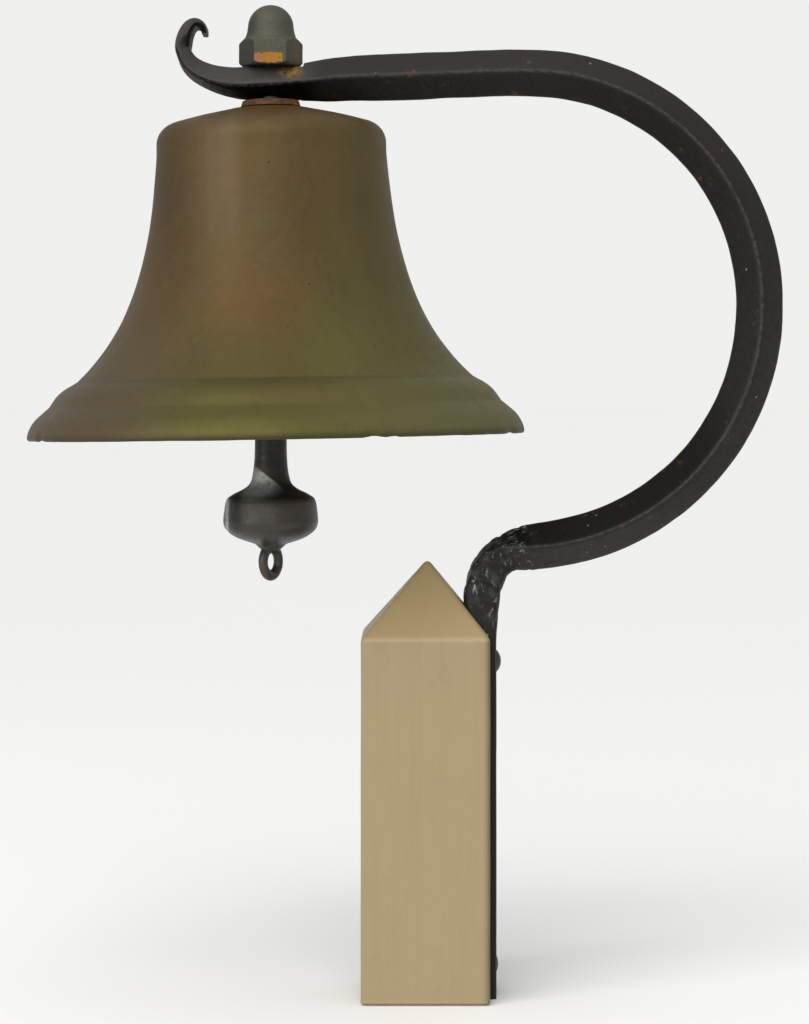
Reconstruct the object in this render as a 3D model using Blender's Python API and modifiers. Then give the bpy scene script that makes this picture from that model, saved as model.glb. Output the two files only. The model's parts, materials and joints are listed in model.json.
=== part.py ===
"""A bronze bell hung under a forged iron gooseneck bracket, which is screwed to a timber post.

Frame: metres, +Z up. The origin is the centre of the post's foot. The bracket reaches over the
bell towards -X, and -Y is the front. Heights marked "above the mouth" are measured from the
bell's mouth. Tables are in millimetres and are scaled by MM where they are used.
"""

import math

import bmesh
import bpy
from mathutils import Matrix, Vector

MM = 0.001
GAP = 0.3 * MM  # air between two pieces that touch

# Driving places
MOUTH_Z = 341.0 * MM  # height of the bell's mouth over the post's foot
STUD_X = -94.5 * MM  # the bolt that carries the bell
BELL_LEAN = math.radians(1.0)  # the bell and its collar sit slightly cocked on the bolt
PIN_TURN = math.radians(-36.4)  # the pivot pin's direction, from +X

# Post
POST_WIDTH = 78.2 * MM
POST_EAVE_Z = 219.3 * MM
POST_APEX_Z = 266.5 * MM
POST_APEX_X = 1.5 * MM  # the hand-cut point is a little off centre
POST_EDGE = 1.6 * MM
POST_EDGE_ANGLE = math.radians(20)

# Bolt stack, heights above the mouth
BOLT_R = 6.0 * MM
CLEAR_R = 6.8 * MM  # the hole in the arm, collar and crown
COLLAR_R = 18.4 * MM
NUT_SEAT = 225.7 * MM  # flat on top of the arm
COLLAR_SEAT = 205.6 * MM  # flat under the arm
CROWN_TOP = 201.3 * MM
CROWN_INSIDE = 192.8 * MM
CROWN_GAP = 0.4 * MM  # the washer is level and the crown leans
CROWN_WASHER_R = 15.0 * MM
CROWN_WASHER_T = 2.5 * MM
CROWN_NUT_R = 11.0 * MM  # to its corners
CROWN_NUT_T = 10.0 * MM
PIVOT = 156.3 * MM  # the clapper's pivot

# Acorn nut
NUT_R = 19.7 * MM  # to its corners
NUT_DOME_R = 15.6 * MM
NUT_CAP_R = 14.1 * MM
NUT_HEX_TOP = 243.8 * MM
NUT_TOP = 264.0 * MM
NUT_TURN = math.radians(1.5)

# Fork and pin
FORK_R = 14.0 * MM
FORK_WIDTH = 18.0 * MM
JAW_T = 5.0 * MM
TONGUE_T = 8.0 * MM
TONGUE_R = 8.5 * MM
SIDE_PLAY = 0.5 * MM  # between the tongue and each jaw
PIN_R = 4.0 * MM
PIN_FIT = 0.08 * MM  # running clearance round the pin
SPLIT_PIN_R = 0.9 * MM
SPLIT_PIN_LENGTH = 15.0 * MM
PIN_TAIL = 8.0 * MM  # the pin's end past the fork

# Rope eye under the ball, a ring a little taller than wide
EYE_MAJOR = 7.35 * MM
EYE_MINOR = 3.1 * MM
EYE_STRETCH = 1.15
EYE_CENTRE = -76.9 * MM  # above the mouth

# Bracket
BAR_HALF = 14.7  # half the square bar's diagonal, in mm
CROOK_X = 60.0  # centre of the crook, in mm
CROOK_Z = 77.5  # above the mouth
CROOK_R = 144.9
CROOK_SWELL = 1.6  # hand forging: a little outside the circle at the upper right,
CROOK_SAG = 0.6  # and a little inside it at the lower right
STRAP_FACE_X = 43.4 * MM
STRAP_HALF_WIDTH = 19.0
LOFT_STEP = 7.5  # distance between the forging's sections, in mm

# Screws in the strap: name, height, head radius, head height
SCREWS = (
    ("strap_screw_upper", 203.3 * MM, 6.8 * MM, 2.8 * MM),
    ("strap_screw_lower", 18.0 * MM, 5.2 * MM, 1.1 * MM),
)
SCREW_R = 2.6 * MM
SCREW_LENGTH = 38.0 * MM
SCREW_POINT = 8.0 * MM

ROUND_STEPS = 56


def clear_scene():
    for thing in list(bpy.data.objects):
        bpy.data.objects.remove(thing, do_unlink=True)


def new_collection(name, hidden=False):
    made = bpy.data.collections.new(name)
    bpy.context.scene.collection.children.link(made)
    made.hide_render = hidden
    return made


def new_material(name, color, roughness, metallic):
    made = bpy.data.materials.new(name)
    made.use_nodes = True
    shader = made.node_tree.nodes["Principled BSDF"]
    shader.inputs["Base Color"].default_value = (*color, 1.0)
    shader.inputs["Roughness"].default_value = roughness
    shader.inputs["Metallic"].default_value = metallic
    return made


clear_scene()
PARTS = new_collection("post_mounted_bell")
CUTTERS = new_collection("cutters", hidden=True)

BRONZE = new_material("bell_bronze", (0.115, 0.082, 0.035), 0.5, 0.85)
VERDIGRIS = new_material("nut_bronze", (0.09, 0.10, 0.07), 0.6, 0.6)
DARK_BRONZE = new_material("clapper_bronze", (0.045, 0.042, 0.036), 0.45, 0.85)
RUST = new_material("collar_rust", (0.33, 0.16, 0.05), 0.8, 0.2)
IRON = new_material("forged_iron", (0.022, 0.021, 0.018), 0.55, 0.5)
PAINT = new_material("post_paint", (0.43, 0.34, 0.18), 0.45, 0.0)
STEEL = new_material("steel", (0.35, 0.34, 0.32), 0.4, 1.0)
ZINC = new_material("screw_steel", (0.06, 0.065, 0.06), 0.5, 0.7)


def file_away(made, material, cutter):
    """Keeps a cutter out of the render, and gives a part its material."""
    if cutter:
        CUTTERS.objects.link(made)
        made.hide_render = True
        made.display_type = "WIRE"
    else:
        PARTS.objects.link(made)
        made.data.materials.append(material)
    return made


def add_mesh(name, bm, material=None, cutter=False):
    mesh = bpy.data.meshes.new(name)
    bmesh.ops.recalc_face_normals(bm, faces=bm.faces)
    bm.to_mesh(mesh)
    bm.free()
    return file_away(bpy.data.objects.new(name, mesh), material, cutter)


def smooth(part, degrees=32):
    part.data.shade_smooth()
    part.data.set_sharp_from_angle(angle=math.radians(degrees))


def place(thing, x=0.0, y=0.0, z=0.0, turn=0.0, lean=0.0):
    thing.location = (x, y, z)
    thing.rotation_euler = (0.0, lean, turn)
    return thing


def boolean(part, cutter, operation="DIFFERENCE"):
    step = part.modifiers.new(operation.lower(), "BOOLEAN")
    step.operation = operation
    step.solver = "EXACT"
    step.object = cutter
    return part


def cut(part, *cutters):
    for cutter in cutters:
        boolean(part, cutter)


def join(part, *others):
    for other in others:
        boolean(part, other, "UNION")


def turned(name, profile, material=None, cutter=False, steps=ROUND_STEPS, closed=False):
    """The (radius, height) profile turned about Z; its outer side is listed from top to bottom."""
    mesh = bpy.data.meshes.new(name)
    points = [(radius, 0.0, height) for radius, height in profile]
    edges = [(k, k + 1) for k in range(len(points) - 1)]
    if closed:
        edges.append((len(points) - 1, 0))
    mesh.from_pydata(points, edges, [])
    made = bpy.data.objects.new(name, mesh)
    screw = made.modifiers.new("turn", "SCREW")
    screw.axis = "Z"
    screw.steps = steps
    screw.render_steps = steps
    screw.use_merge_vertices = True
    screw.merge_threshold = 0.00001
    screw.use_smooth_shade = True
    return file_away(made, material, cutter)


def rod(name, radius, length, material=None, cutter=False, segments=32, along="Z"):
    """A cylinder centred on the origin, along Z or X."""
    bm = bmesh.new()
    bmesh.ops.create_cone(
        bm, cap_ends=True, segments=segments, radius1=radius, radius2=radius, depth=length
    )
    if along == "X":
        bmesh.ops.rotate(bm, matrix=Matrix.Rotation(math.pi / 2, 3, "Y"), verts=bm.verts)
    return add_mesh(name, bm, material, cutter)


def block(name, size, material=None, cutter=False):
    """A box centred on the origin."""
    bm = bmesh.new()
    bmesh.ops.create_cube(bm, size=1.0)
    bmesh.ops.scale(bm, vec=size, verts=bm.verts)
    return add_mesh(name, bm, material, cutter)


def ring(name, major, minor, stretch=1.0):
    """A torus round X to join to a part, centred on the origin; stretch makes it taller."""
    bpy.ops.mesh.primitive_torus_add(
        major_segments=26, minor_segments=10, major_radius=major, minor_radius=minor
    )
    made = bpy.context.object
    made.name = name
    made.data.transform(Matrix.Rotation(math.pi / 2, 4, "Y"))
    made.data.transform(Matrix.Diagonal((1.0, 1.0, stretch, 1.0)))
    for home in list(made.users_collection):
        home.objects.unlink(made)
    return file_away(made, None, cutter=True)


def arc(centre, radius, start, end, count):
    """Points on an arc, angles in degrees from +radius towards +height."""
    angles = [math.radians(start + (end - start) * k / (count - 1)) for k in range(count)]
    return [(centre[0] + radius * math.cos(a), centre[1] + radius * math.sin(a)) for a in angles]


def scaled(points):
    return [(a * MM, b * MM) for a, b in points]


# ---------------------------------------------------------------- post


def post_mesh(name, grow=0.0, material=None, cutter=False):
    """The post, or with grow its envelope: a square shaft under a four-sided point."""
    width = POST_WIDTH + 2 * grow
    slope = math.atan2(POST_APEX_Z - POST_EAVE_Z, POST_WIDTH / 2)
    rise = grow / math.cos(slope)
    eave = POST_EAVE_Z + rise - grow * math.tan(slope)
    foot = -10 * grow
    bm = bmesh.new()
    bmesh.ops.create_cube(bm, size=1.0)
    for vert in bm.verts:
        vert.co.x *= width
        vert.co.y *= width
        vert.co.z = eave if vert.co.z > 0 else foot
    top = max(bm.faces, key=lambda face: face.calc_center_median().z)
    apex = bmesh.ops.poke(bm, faces=[top])["verts"][0]
    apex.co = Vector((POST_APEX_X, 0.0, POST_APEX_Z + rise))
    return add_mesh(name, bm, material, cutter)


def build_post():
    post = post_mesh("post", material=PAINT)
    edges = post.modifiers.new("eased_arrises", "BEVEL")
    edges.width = POST_EDGE
    edges.segments = 2
    edges.limit_method = "ANGLE"
    edges.angle_limit = POST_EDGE_ANGLE
    for name, height, _, _ in SCREWS:
        pilot = rod(
            name + "_pilot", SCREW_R + GAP, 2 * SCREW_LENGTH, cutter=True, segments=20, along="X"
        )
        place(pilot, x=POST_WIDTH / 2, z=height)
        cut(post, pilot)
    return post


# ---------------------------------------------------------------- bracket

# Stations along the bar, in mm: x, height above the mouth, half thickness in the bracket's plane,
# half width across it, twist of the section in degrees (45 has a ridge in front, 0 a flat face),
# and squareness of the section's corners.
SCROLL_STATIONS = (
    (-134.7, 245.6, 1.6, 11.5, 0, 5),
    (-135.1, 248.8, 2.1, 12.0, 0, 5),
    (-137.0, 251.2, 2.5, 12.6, 0, 5),
    (-140.2, 252.2, 3.0, 13.2, 0, 5),
    (-143.6, 250.4, 3.6, 13.8, 0, 5),
    (-146.1, 246.2, 4.2, 14.2, 0, 5),
    (-147.7, 240.4, 4.8, 14.4, 2, 6),
    (-147.9, 235.5, 4.8, 14.6, 4, 6),
    (-143.3, 226.9, 6.0, 15.0, 9, 6),
    (-134.1, 220.9, 7.2, 15.6, 15, 6),
    (-120.7, 217.0, 8.8, 17.0, 22, 5),
    (-107.0, 215.8, 10.3, 18.8, 28, 4),
    (-94.5, 216.0, 11.0, 19.4, 33, 4),
    (-84.0, 216.4, 11.4, 18.2, 37, 5),
    (-74.1, 216.8, 11.9, 16.4, 41, 6),
    (-59.4, 217.9, 13.4, 15.0, 45, 8),
    (-44.7, 219.0, 14.1, BAR_HALF, 45, 8),
    (-22.7, 219.7, BAR_HALF, BAR_HALF, 45, 8),
    (6.7, 220.8, BAR_HALF, BAR_HALF, 45, 8),
    (34.0, 221.9, BAR_HALF, BAR_HALF, 45, 8),
)
CROOK_ANGLES = range(0, 171, 10)  # clockwise from the top of the crook
NECK_STATIONS = (
    (61.5, -68.6, 14.2, 14.4, 40, 8),
    (53.0, -70.7, 12.7, 14.2, 28, 7),
    (47.2, -73.2, 11.8, 14.0, 16, 6),
    (43.1, -76.7, 11.5, 14.0, 8, 6),
    (40.0, -80.9, 11.7, 14.2, 3, 6),
    (37.5, -86.2, 11.8, 14.6, 0, 6),
    (35.9, -92.0, 11.5, 15.2, 0, 6),
    (34.6, -98.0, 11.5, 16.0, 0, 7),
    (34.3, -105.5, 10.9, 17.0, 0, 8),
    (35.3, -116.5, 9.0, 18.2, 0, 9),
    (38.6, -130.0, 4.8, STRAP_HALF_WIDTH, 0, 10),
    (39.4, -145.0, 4.0, STRAP_HALF_WIDTH, 0, 10),
    (39.4, -200.0, 4.0, STRAP_HALF_WIDTH, 0, 10),
    (39.4, -270.0, 4.0, STRAP_HALF_WIDTH, 0, 10),
    (39.4, -341.0, 4.0, STRAP_HALF_WIDTH, 0, 10),
)
SECTION_ANGLES = [corner + off for corner in (45, 135, 225, 315) for off in (-20, 0, 20)]


def crook_stations():
    made = []
    for degrees in CROOK_ANGLES:
        angle = math.radians(degrees)
        bulge = CROOK_SWELL if degrees < 90 else CROOK_SAG
        radius = CROOK_R + bulge * math.sin(2 * angle)
        x = CROOK_X + radius * math.sin(angle)
        z = CROOK_Z + radius * math.cos(angle)
        made.append((x, z, BAR_HALF, BAR_HALF, 45, 8))
    return made


def spline(stations, step):
    """Points every step mm or so on a Catmull-Rom curve through the stations, ends included."""
    padded = [stations[0], *stations, stations[-1]]
    made = [stations[0]]
    for k in range(1, len(padded) - 2):
        before, start, end, after = padded[k - 1 : k + 3]
        span = math.hypot(end[0] - start[0], end[1] - start[1])
        prior = math.hypot(start[0] - before[0], start[1] - before[1]) or span
        later = math.hypot(after[0] - end[0], after[1] - end[1]) or span
        count = max(1, round(span / step))
        for j in range(1, count + 1):
            t = j / count
            values = []
            for a, b, c, d in zip(before, start, end, after):
                leave = span * (c - a) / (span + prior)
                arrive = span * (d - b) / (span + later)
                values.append(
                    (2 * t**3 - 3 * t**2 + 1) * b
                    + (t**3 - 2 * t**2 + t) * leave
                    + (3 * t**2 - 2 * t**3) * c
                    + (t**3 - t**2) * arrive
                )
            made.append(tuple(values))
    return made


def section(half_t, half_w, twist, squareness):
    """Offsets (across, outward) of a squared section, turned by twist and stretched to its size."""
    turn = -math.radians(twist)
    points = []
    for degrees in SECTION_ANGLES:
        c = math.cos(math.radians(degrees))
        s = math.sin(math.radians(degrees))
        a = math.copysign(abs(c) ** (2 / squareness), c)
        b = math.copysign(abs(s) ** (2 / squareness), s)
        across = a * math.cos(turn) - b * math.sin(turn)
        out = a * math.sin(turn) + b * math.cos(turn)
        points.append((across, out))
    widest = max(abs(a) for a, _ in points)
    tallest = max(abs(b) for _, b in points)
    return [(a / widest * half_w, b / tallest * half_t) for a, b in points]


def bracket_loft():
    """The whole forging as one loft along the bar's centre line."""
    stations = [*SCROLL_STATIONS, *crook_stations(), *NECK_STATIONS]
    line = spline(stations, LOFT_STEP)
    bm = bmesh.new()
    loops = []
    for k, (x, z, half_t, half_w, twist, squareness) in enumerate(line):
        behind = line[max(k - 1, 0)]
        ahead = line[min(k + 1, len(line) - 1)]
        along = Vector((ahead[0] - behind[0], 0.0, ahead[1] - behind[1])).normalized()
        outward = Vector((-along.z, 0.0, along.x))
        loop = []
        for across, out in section(half_t, half_w, twist, squareness):
            spot = Vector((x, across, z)) + outward * out
            loop.append(bm.verts.new((spot.x * MM, spot.y * MM, MOUTH_Z + spot.z * MM)))
        loops.append(loop)
    count = len(SECTION_ANGLES)
    for first, second in zip(loops, loops[1:]):
        for k in range(count):
            bm.faces.new((first[k], first[(k + 1) % count], second[(k + 1) % count], second[k]))
    bm.faces.new(loops[0])
    bm.faces.new(loops[-1])
    return add_mesh("bracket", bm, IRON)


def build_bracket(hanging):
    bracket = bracket_loft()
    smooth(bracket, 25)
    cut(bracket, post_mesh("post_envelope", grow=GAP, cutter=True))
    hole = rod("stud_hole", CLEAR_R, 80 * MM, cutter=True, segments=28)
    place(hole, x=STUD_X, z=MOUTH_Z + COLLAR_SEAT)
    depth = 30 * MM
    nut_seat = rod("nut_seat", NUT_R + 1.0 * MM, depth, cutter=True, segments=40)
    place(nut_seat, x=STUD_X, z=MOUTH_Z + NUT_SEAT + depth / 2)
    collar_seat = rod("collar_seat", COLLAR_R + 1.0 * MM, depth, cutter=True, segments=40)
    place(collar_seat, z=COLLAR_SEAT - CROWN_TOP - depth / 2)
    collar_seat.parent = hanging
    cut(bracket, hole, nut_seat, collar_seat)
    for name, height, _, _ in SCREWS:
        clearance = rod(
            name + "_hole", SCREW_R + 2 * GAP, 30 * MM, cutter=True, segments=20, along="X"
        )
        place(clearance, x=STRAP_FACE_X, z=height)
        cut(bracket, clearance)
    return bracket


# ---------------------------------------------------------------- bell


def waist_radius(height):
    """Outer radius of the bell's waist, in mm: a flare that dies away upwards."""
    return 67.0 + 54.6 * math.exp((34.6 - height) / 51.0)


def wall(height):
    """Thickness of the wall across the bell, in mm."""
    return 5.5 + 7.0 * math.exp(-height / 38.0)


def bell_profile():
    """The bell's section as a closed loop, in mm: down the outside, round the lip, up the inside."""
    crown = [(CLEAR_R / MM, 201.3), (19.0, 201.3), (30.0, 199.2), (47.0, 195.4)]
    shoulder = arc((57.0, 178.6), 13.6, 74, 4, 6)
    outer = [(waist_radius(h), h) for h in (172, 155, 138, 121, 104, 88, 73, 60, 49, 41, 35.2)]
    bead = [(124.0, 33.4), (128.4, 30.9), (132.9, 27.2), (135.7, 23.6), (138.2, 19.9)]
    lip = [(142.6, 16.2), (147.0, 12.2), (149.8, 8.2), (151.6, 4.2), (152.2, 1.2), (151.4, -0.5)]
    edge = [(149.4, -0.8)]
    bow = [(147.6, 0.1), (139.5, 7.6), (125.5, 20.0), (113.0, 33.0)]
    inner = [(waist_radius(h) - wall(h), h) for h in (44, 58, 74, 92, 112, 134, 158, 180)]
    roof = [(61.5, 184.4), (56.0, 187.4), (44.0, 190.4), (19.0, 192.8), (CLEAR_R / MM, 192.8)]
    return [*crown, *shoulder, *outer, *bead, *lip, *edge, *bow, *inner, *roof]


def build_hanging():
    """The empty that the bell and its collar lean on: the centre of the crown's top."""
    hanging = bpy.data.objects.new("crown_centre", None)
    PARTS.objects.link(hanging)
    place(hanging, x=STUD_X, z=MOUTH_Z + CROWN_TOP, lean=-BELL_LEAN)
    return hanging


def build_bell(hanging):
    profile = [(r, h - CROWN_TOP / MM) for r, h in bell_profile()]
    bell = turned("bell", scaled(profile), BRONZE, closed=True)
    bell.parent = hanging
    return bell


def build_collar(hanging):
    low = GAP
    high = COLLAR_SEAT - CROWN_TOP - GAP
    shoulder = COLLAR_R - 1.0 * MM
    profile = [
        (CLEAR_R, high),
        (shoulder - 0.6 * MM, high),
        (shoulder, high - 0.5 * MM),
        (COLLAR_R, low),
        (CLEAR_R, low),
    ]
    collar = turned("collar", profile, RUST, steps=40, closed=True)
    collar.parent = hanging
    return collar


# ---------------------------------------------------------------- bolt, nuts and pin


def hexagon(name, radius, low, high, material=None, cutter=False):
    """A hexagonal prism round Z with a flat at the front; heights above the mouth."""
    bm = bmesh.new()
    bmesh.ops.create_cone(
        bm, cap_ends=True, segments=6, radius1=radius, radius2=radius, depth=high - low
    )
    bmesh.ops.rotate(bm, matrix=Matrix.Rotation(math.radians(30), 3, "Z"), verts=bm.verts)
    made = add_mesh(name, bm, material, cutter)
    return place(made, x=STUD_X, z=MOUTH_Z + (low + high) / 2)


def at_bolt(thing, turn=0.0):
    """Puts a piece whose heights are above the mouth on the bolt's axis."""
    return place(thing, x=STUD_X, z=MOUTH_Z, turn=turn)


def build_acorn_nut():
    low = NUT_SEAT + GAP
    nut = hexagon("acorn_nut", NUT_R, low, NUT_HEX_TOP, VERDIGRIS)
    nut.rotation_euler.z = NUT_TURN
    chamfer = turned(
        "acorn_nut_chamfer",
        [
            (0.0, NUT_HEX_TOP),
            (NUT_DOME_R, NUT_HEX_TOP),
            (NUT_R + 0.2 * MM, NUT_HEX_TOP - 4.2 * MM),
            (NUT_R + 0.2 * MM, low + 2.2 * MM),
            (NUT_R - 2.4 * MM, low),
            (0.0, low),
        ],
        cutter=True,
        steps=48,
    )
    boolean(nut, at_bolt(chamfer), "INTERSECT")
    dome_start = NUT_HEX_TOP - 2 * MM
    dome = arc((0.0, NUT_TOP - NUT_CAP_R), NUT_CAP_R, 90, 2, 6)
    dome[0] = (0.0, NUT_TOP)
    dome += [(NUT_CAP_R + 0.5 * MM, NUT_HEX_TOP + 3.2 * MM), (NUT_DOME_R, NUT_HEX_TOP)]
    dome += [(NUT_DOME_R, dome_start), (0.0, dome_start)]
    join(nut, at_bolt(turned("acorn_nut_dome", dome, cutter=True, steps=40)))
    bore = rod("acorn_nut_bore", BOLT_R + GAP, 50 * MM, cutter=True, segments=28)
    cut(nut, place(bore, x=STUD_X, z=MOUTH_Z + NUT_SEAT))
    return nut


def build_crown_washer():
    high = CROWN_INSIDE - CROWN_GAP
    low = high - CROWN_WASHER_T
    inner = BOLT_R + GAP
    profile = [(inner, high), (CROWN_WASHER_R, high), (CROWN_WASHER_R, low), (inner, low)]
    return at_bolt(turned("crown_washer", profile, STEEL, steps=40, closed=True))


def crown_nut_low():
    """Underside of the nut inside the crown, above the mouth."""
    return CROWN_INSIDE - CROWN_GAP - CROWN_WASHER_T - GAP - CROWN_NUT_T


def build_crown_nut():
    low = crown_nut_low()
    high = low + CROWN_NUT_T
    nut = hexagon("crown_nut", CROWN_NUT_R, low, high, STEEL)
    flat = CROWN_NUT_R * math.cos(math.radians(30))
    outside = CROWN_NUT_R + 0.2 * MM
    chamfer = turned(
        "crown_nut_chamfer",
        [
            (0.0, high),
            (flat, high),
            (outside, high - 1.0 * MM),
            (outside, low + 1.0 * MM),
            (flat, low),
            (0.0, low),
        ],
        cutter=True,
        steps=36,
    )
    boolean(nut, at_bolt(chamfer), "INTERSECT")
    bore = rod("crown_nut_bore", BOLT_R + GAP, 30 * MM, cutter=True, segments=28)
    cut(nut, place(bore, x=STUD_X, z=MOUTH_Z + low))
    return nut


def build_fork_bolt():
    """A threaded stud above, and two jaws below that hold the clapper's pin."""
    boss_top = crown_nut_low() - GAP
    boss_low = PIVOT + 15.2 * MM
    top = NUT_SEAT + 23.5 * MM
    profile = [
        (0.0, top),
        (BOLT_R - 1.0 * MM, top),
        (BOLT_R, top - 1.0 * MM),
        (BOLT_R, boss_top),
        (FORK_R - 1.2 * MM, boss_top),
        (FORK_R, boss_top - 1.2 * MM),
        (FORK_R, boss_low),
        (0.0, boss_low),
    ]
    bolt = at_bolt(turned("fork_bolt", profile, DARK_BRONZE, steps=32), turn=PIN_TURN)
    outer_t = 2 * pin_half()
    cheek = rod("fork_cheek", FORK_WIDTH / 2, outer_t, cutter=True, segments=32, along="X")
    web_height = boss_low - PIVOT + 2 * MM
    web = block("fork_web", (outer_t, FORK_WIDTH, web_height), cutter=True)
    below = 20 * MM
    slot_size = (TONGUE_T + 2 * SIDE_PLAY, 50 * MM, boss_low - PIVOT + below)
    slot = block("fork_slot", slot_size, cutter=True)
    hole = rod("fork_pin_hole", PIN_R + PIN_FIT, 60 * MM, cutter=True, segments=28, along="X")
    place(cheek, x=STUD_X, z=MOUTH_Z + PIVOT, turn=PIN_TURN)
    place(web, x=STUD_X, z=MOUTH_Z + PIVOT + web_height / 2, turn=PIN_TURN)
    place(slot, x=STUD_X, z=MOUTH_Z + (boss_low + PIVOT - below) / 2, turn=PIN_TURN)
    place(hole, x=STUD_X, z=MOUTH_Z + PIVOT, turn=PIN_TURN)
    join(bolt, cheek, web)
    cut(bolt, slot, hole)
    return bolt


def pin_half():
    """Half of the fork's width along the pin."""
    return TONGUE_T / 2 + SIDE_PLAY + JAW_T


def build_pivot():
    """The empty on the clapper's hinge axis, with its X along the pin."""
    pivot = bpy.data.objects.new("clapper_pivot", None)
    PARTS.objects.link(pivot)
    return place(pivot, x=STUD_X, z=MOUTH_Z + PIVOT, turn=PIN_TURN)


def build_pin(pivot):
    """The headed pin, lying along X; its head is at the left and its open end at the right."""
    head_t = 3.0 * MM
    start = -pin_half() - GAP
    end = pin_half() + PIN_TAIL
    profile = [
        (0.0, end),
        (PIN_R - 0.6 * MM, end),
        (PIN_R, end - 0.6 * MM),
        (PIN_R, start),
        (6.2 * MM, start),
        (6.2 * MM, start - head_t + 0.8 * MM),
        (5.0 * MM, start - head_t),
        (0.0, start - head_t),
    ]
    pin = turned("pivot_pin", profile, STEEL, steps=28)
    pin.rotation_euler = (0.0, math.pi / 2, 0.0)
    pin.parent = pivot
    hole = rod("split_pin_hole", SPLIT_PIN_R + GAP, 20 * MM, cutter=True, segments=14)
    hole.location.x = split_pin_x()
    hole.parent = pivot
    cut(pin, hole)
    return pin


def split_pin_x():
    """Where the split pin stands along the pivot pin."""
    return pin_half() + PIN_TAIL - 3.0 * MM


def build_pin_washer(pivot):
    thick = 1.4 * MM
    low = pin_half() + GAP
    inner = PIN_R + GAP
    profile = [(inner, low + thick), (7.0 * MM, low + thick), (7.0 * MM, low), (inner, low)]
    washer = turned("pin_washer", profile, STEEL, steps=28, closed=True)
    washer.rotation_euler = (0.0, math.pi / 2, 0.0)
    washer.parent = pivot
    return washer


def build_split_pin(pivot):
    """A straight split pin through the pin's end, with its eye on top."""
    pin = rod("split_pin", SPLIT_PIN_R, SPLIT_PIN_LENGTH, STEEL, segments=12)
    eye = ring("split_pin_eye", 2.0 * MM, 0.75 * MM)
    for piece, height in ((pin, 0.0), (eye, 0.6 * SPLIT_PIN_LENGTH)):
        piece.location = (split_pin_x(), 0.0, height)
        piece.parent = pivot
    join(pin, eye)
    return pin


# ---------------------------------------------------------------- clapper


def clapper_profile():
    """Shank, ball and stem in mm, heights above the mouth."""
    shank = [(0.0, 147.0), (6.0, 146.5), (8.2, 143.5), (8.9, 138.0)]
    shank += [(9.4, 60.0), (10.0, -8.0), (10.9, -21.0)]
    flare = [(12.9, -28.9), (17.0, -32.4), (22.4, -35.0), (26.6, -37.6)]
    ball = [(27.8, -40.2), (28.9, -48.0), (29.3, -52.5), (28.3, -56.2)]
    ball += [(25.6, -59.4), (20.8, -62.4), (14.0, -64.8)]
    stem = [(9.4, -66.4), (7.6, -68.2), (5.0, -70.4), (0.0, -71.0)]
    return [*shank, *flare, *ball, *stem]


def build_clapper(pivot):
    profile = [(r, h - PIVOT / MM) for r, h in clapper_profile()]
    clapper = turned("clapper", scaled(profile), DARK_BRONZE, steps=36)
    clapper.parent = pivot
    knuckle = rod("clapper_knuckle", TONGUE_R, TONGUE_T, cutter=True, segments=32, along="X")
    knuckle.parent = pivot
    tongue_length = 24 * MM
    tongue = block("clapper_tongue", (TONGUE_T, 2 * TONGUE_R - 2 * MM, tongue_length), cutter=True)
    tongue.location.z = -tongue_length / 2
    tongue.parent = pivot
    eye = ring("clapper_rope_eye", EYE_MAJOR, EYE_MINOR, EYE_STRETCH)
    eye.location.z = EYE_CENTRE - PIVOT
    eye.parent = pivot
    hole = rod("clapper_pin_hole", PIN_R + PIN_FIT, 30 * MM, cutter=True, segments=28, along="X")
    hole.parent = pivot
    join(clapper, tongue, knuckle, eye)
    cut(clapper, hole)
    return clapper


# ---------------------------------------------------------------- screws


def build_screws():
    for name, height, head_r, head_h in SCREWS:
        seat = STRAP_FACE_X + GAP
        bulge = (head_r**2 + head_h**2) / (2 * head_h)  # radius of the domed head
        reach = math.asin(head_r / bulge)
        dome = arc((0.0, head_h - bulge), bulge, 90, 90 - math.degrees(reach), 6)
        dome[0] = (0.0, head_h)
        shank = [(SCREW_R, 0.0), (SCREW_R, SCREW_POINT - SCREW_LENGTH), (0.0, -SCREW_LENGTH)]
        profile = [*dome, *shank]
        screw = turned(name, profile, ZINC, steps=28)
        screw.rotation_euler = (0.0, math.pi / 2, 0.0)
        screw.location = (seat, 0.0, height)


HANGING = build_hanging()
PIVOT_EMPTY = build_pivot()
build_post()
build_bracket(HANGING)
build_bell(HANGING)
build_collar(HANGING)
build_acorn_nut()
build_crown_washer()
build_crown_nut()
build_fork_bolt()
build_pin(PIVOT_EMPTY)
build_pin_washer(PIVOT_EMPTY)
build_split_pin(PIVOT_EMPTY)
build_clapper(PIVOT_EMPTY)
build_screws()
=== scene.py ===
"""The look of a bronze bell that hangs under a forged iron gooseneck on a painted timber post.

Metres, +Z up, in the part's own frame: the origin is the centre of the post's foot and -Y is the
front. Tables are in millimetres, scaled by MM; heights in them are above the bell's mouth.
"""

import json
import math

import bmesh
import bpy
from mathutils import Matrix, Vector, kdtree, noise


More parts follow.
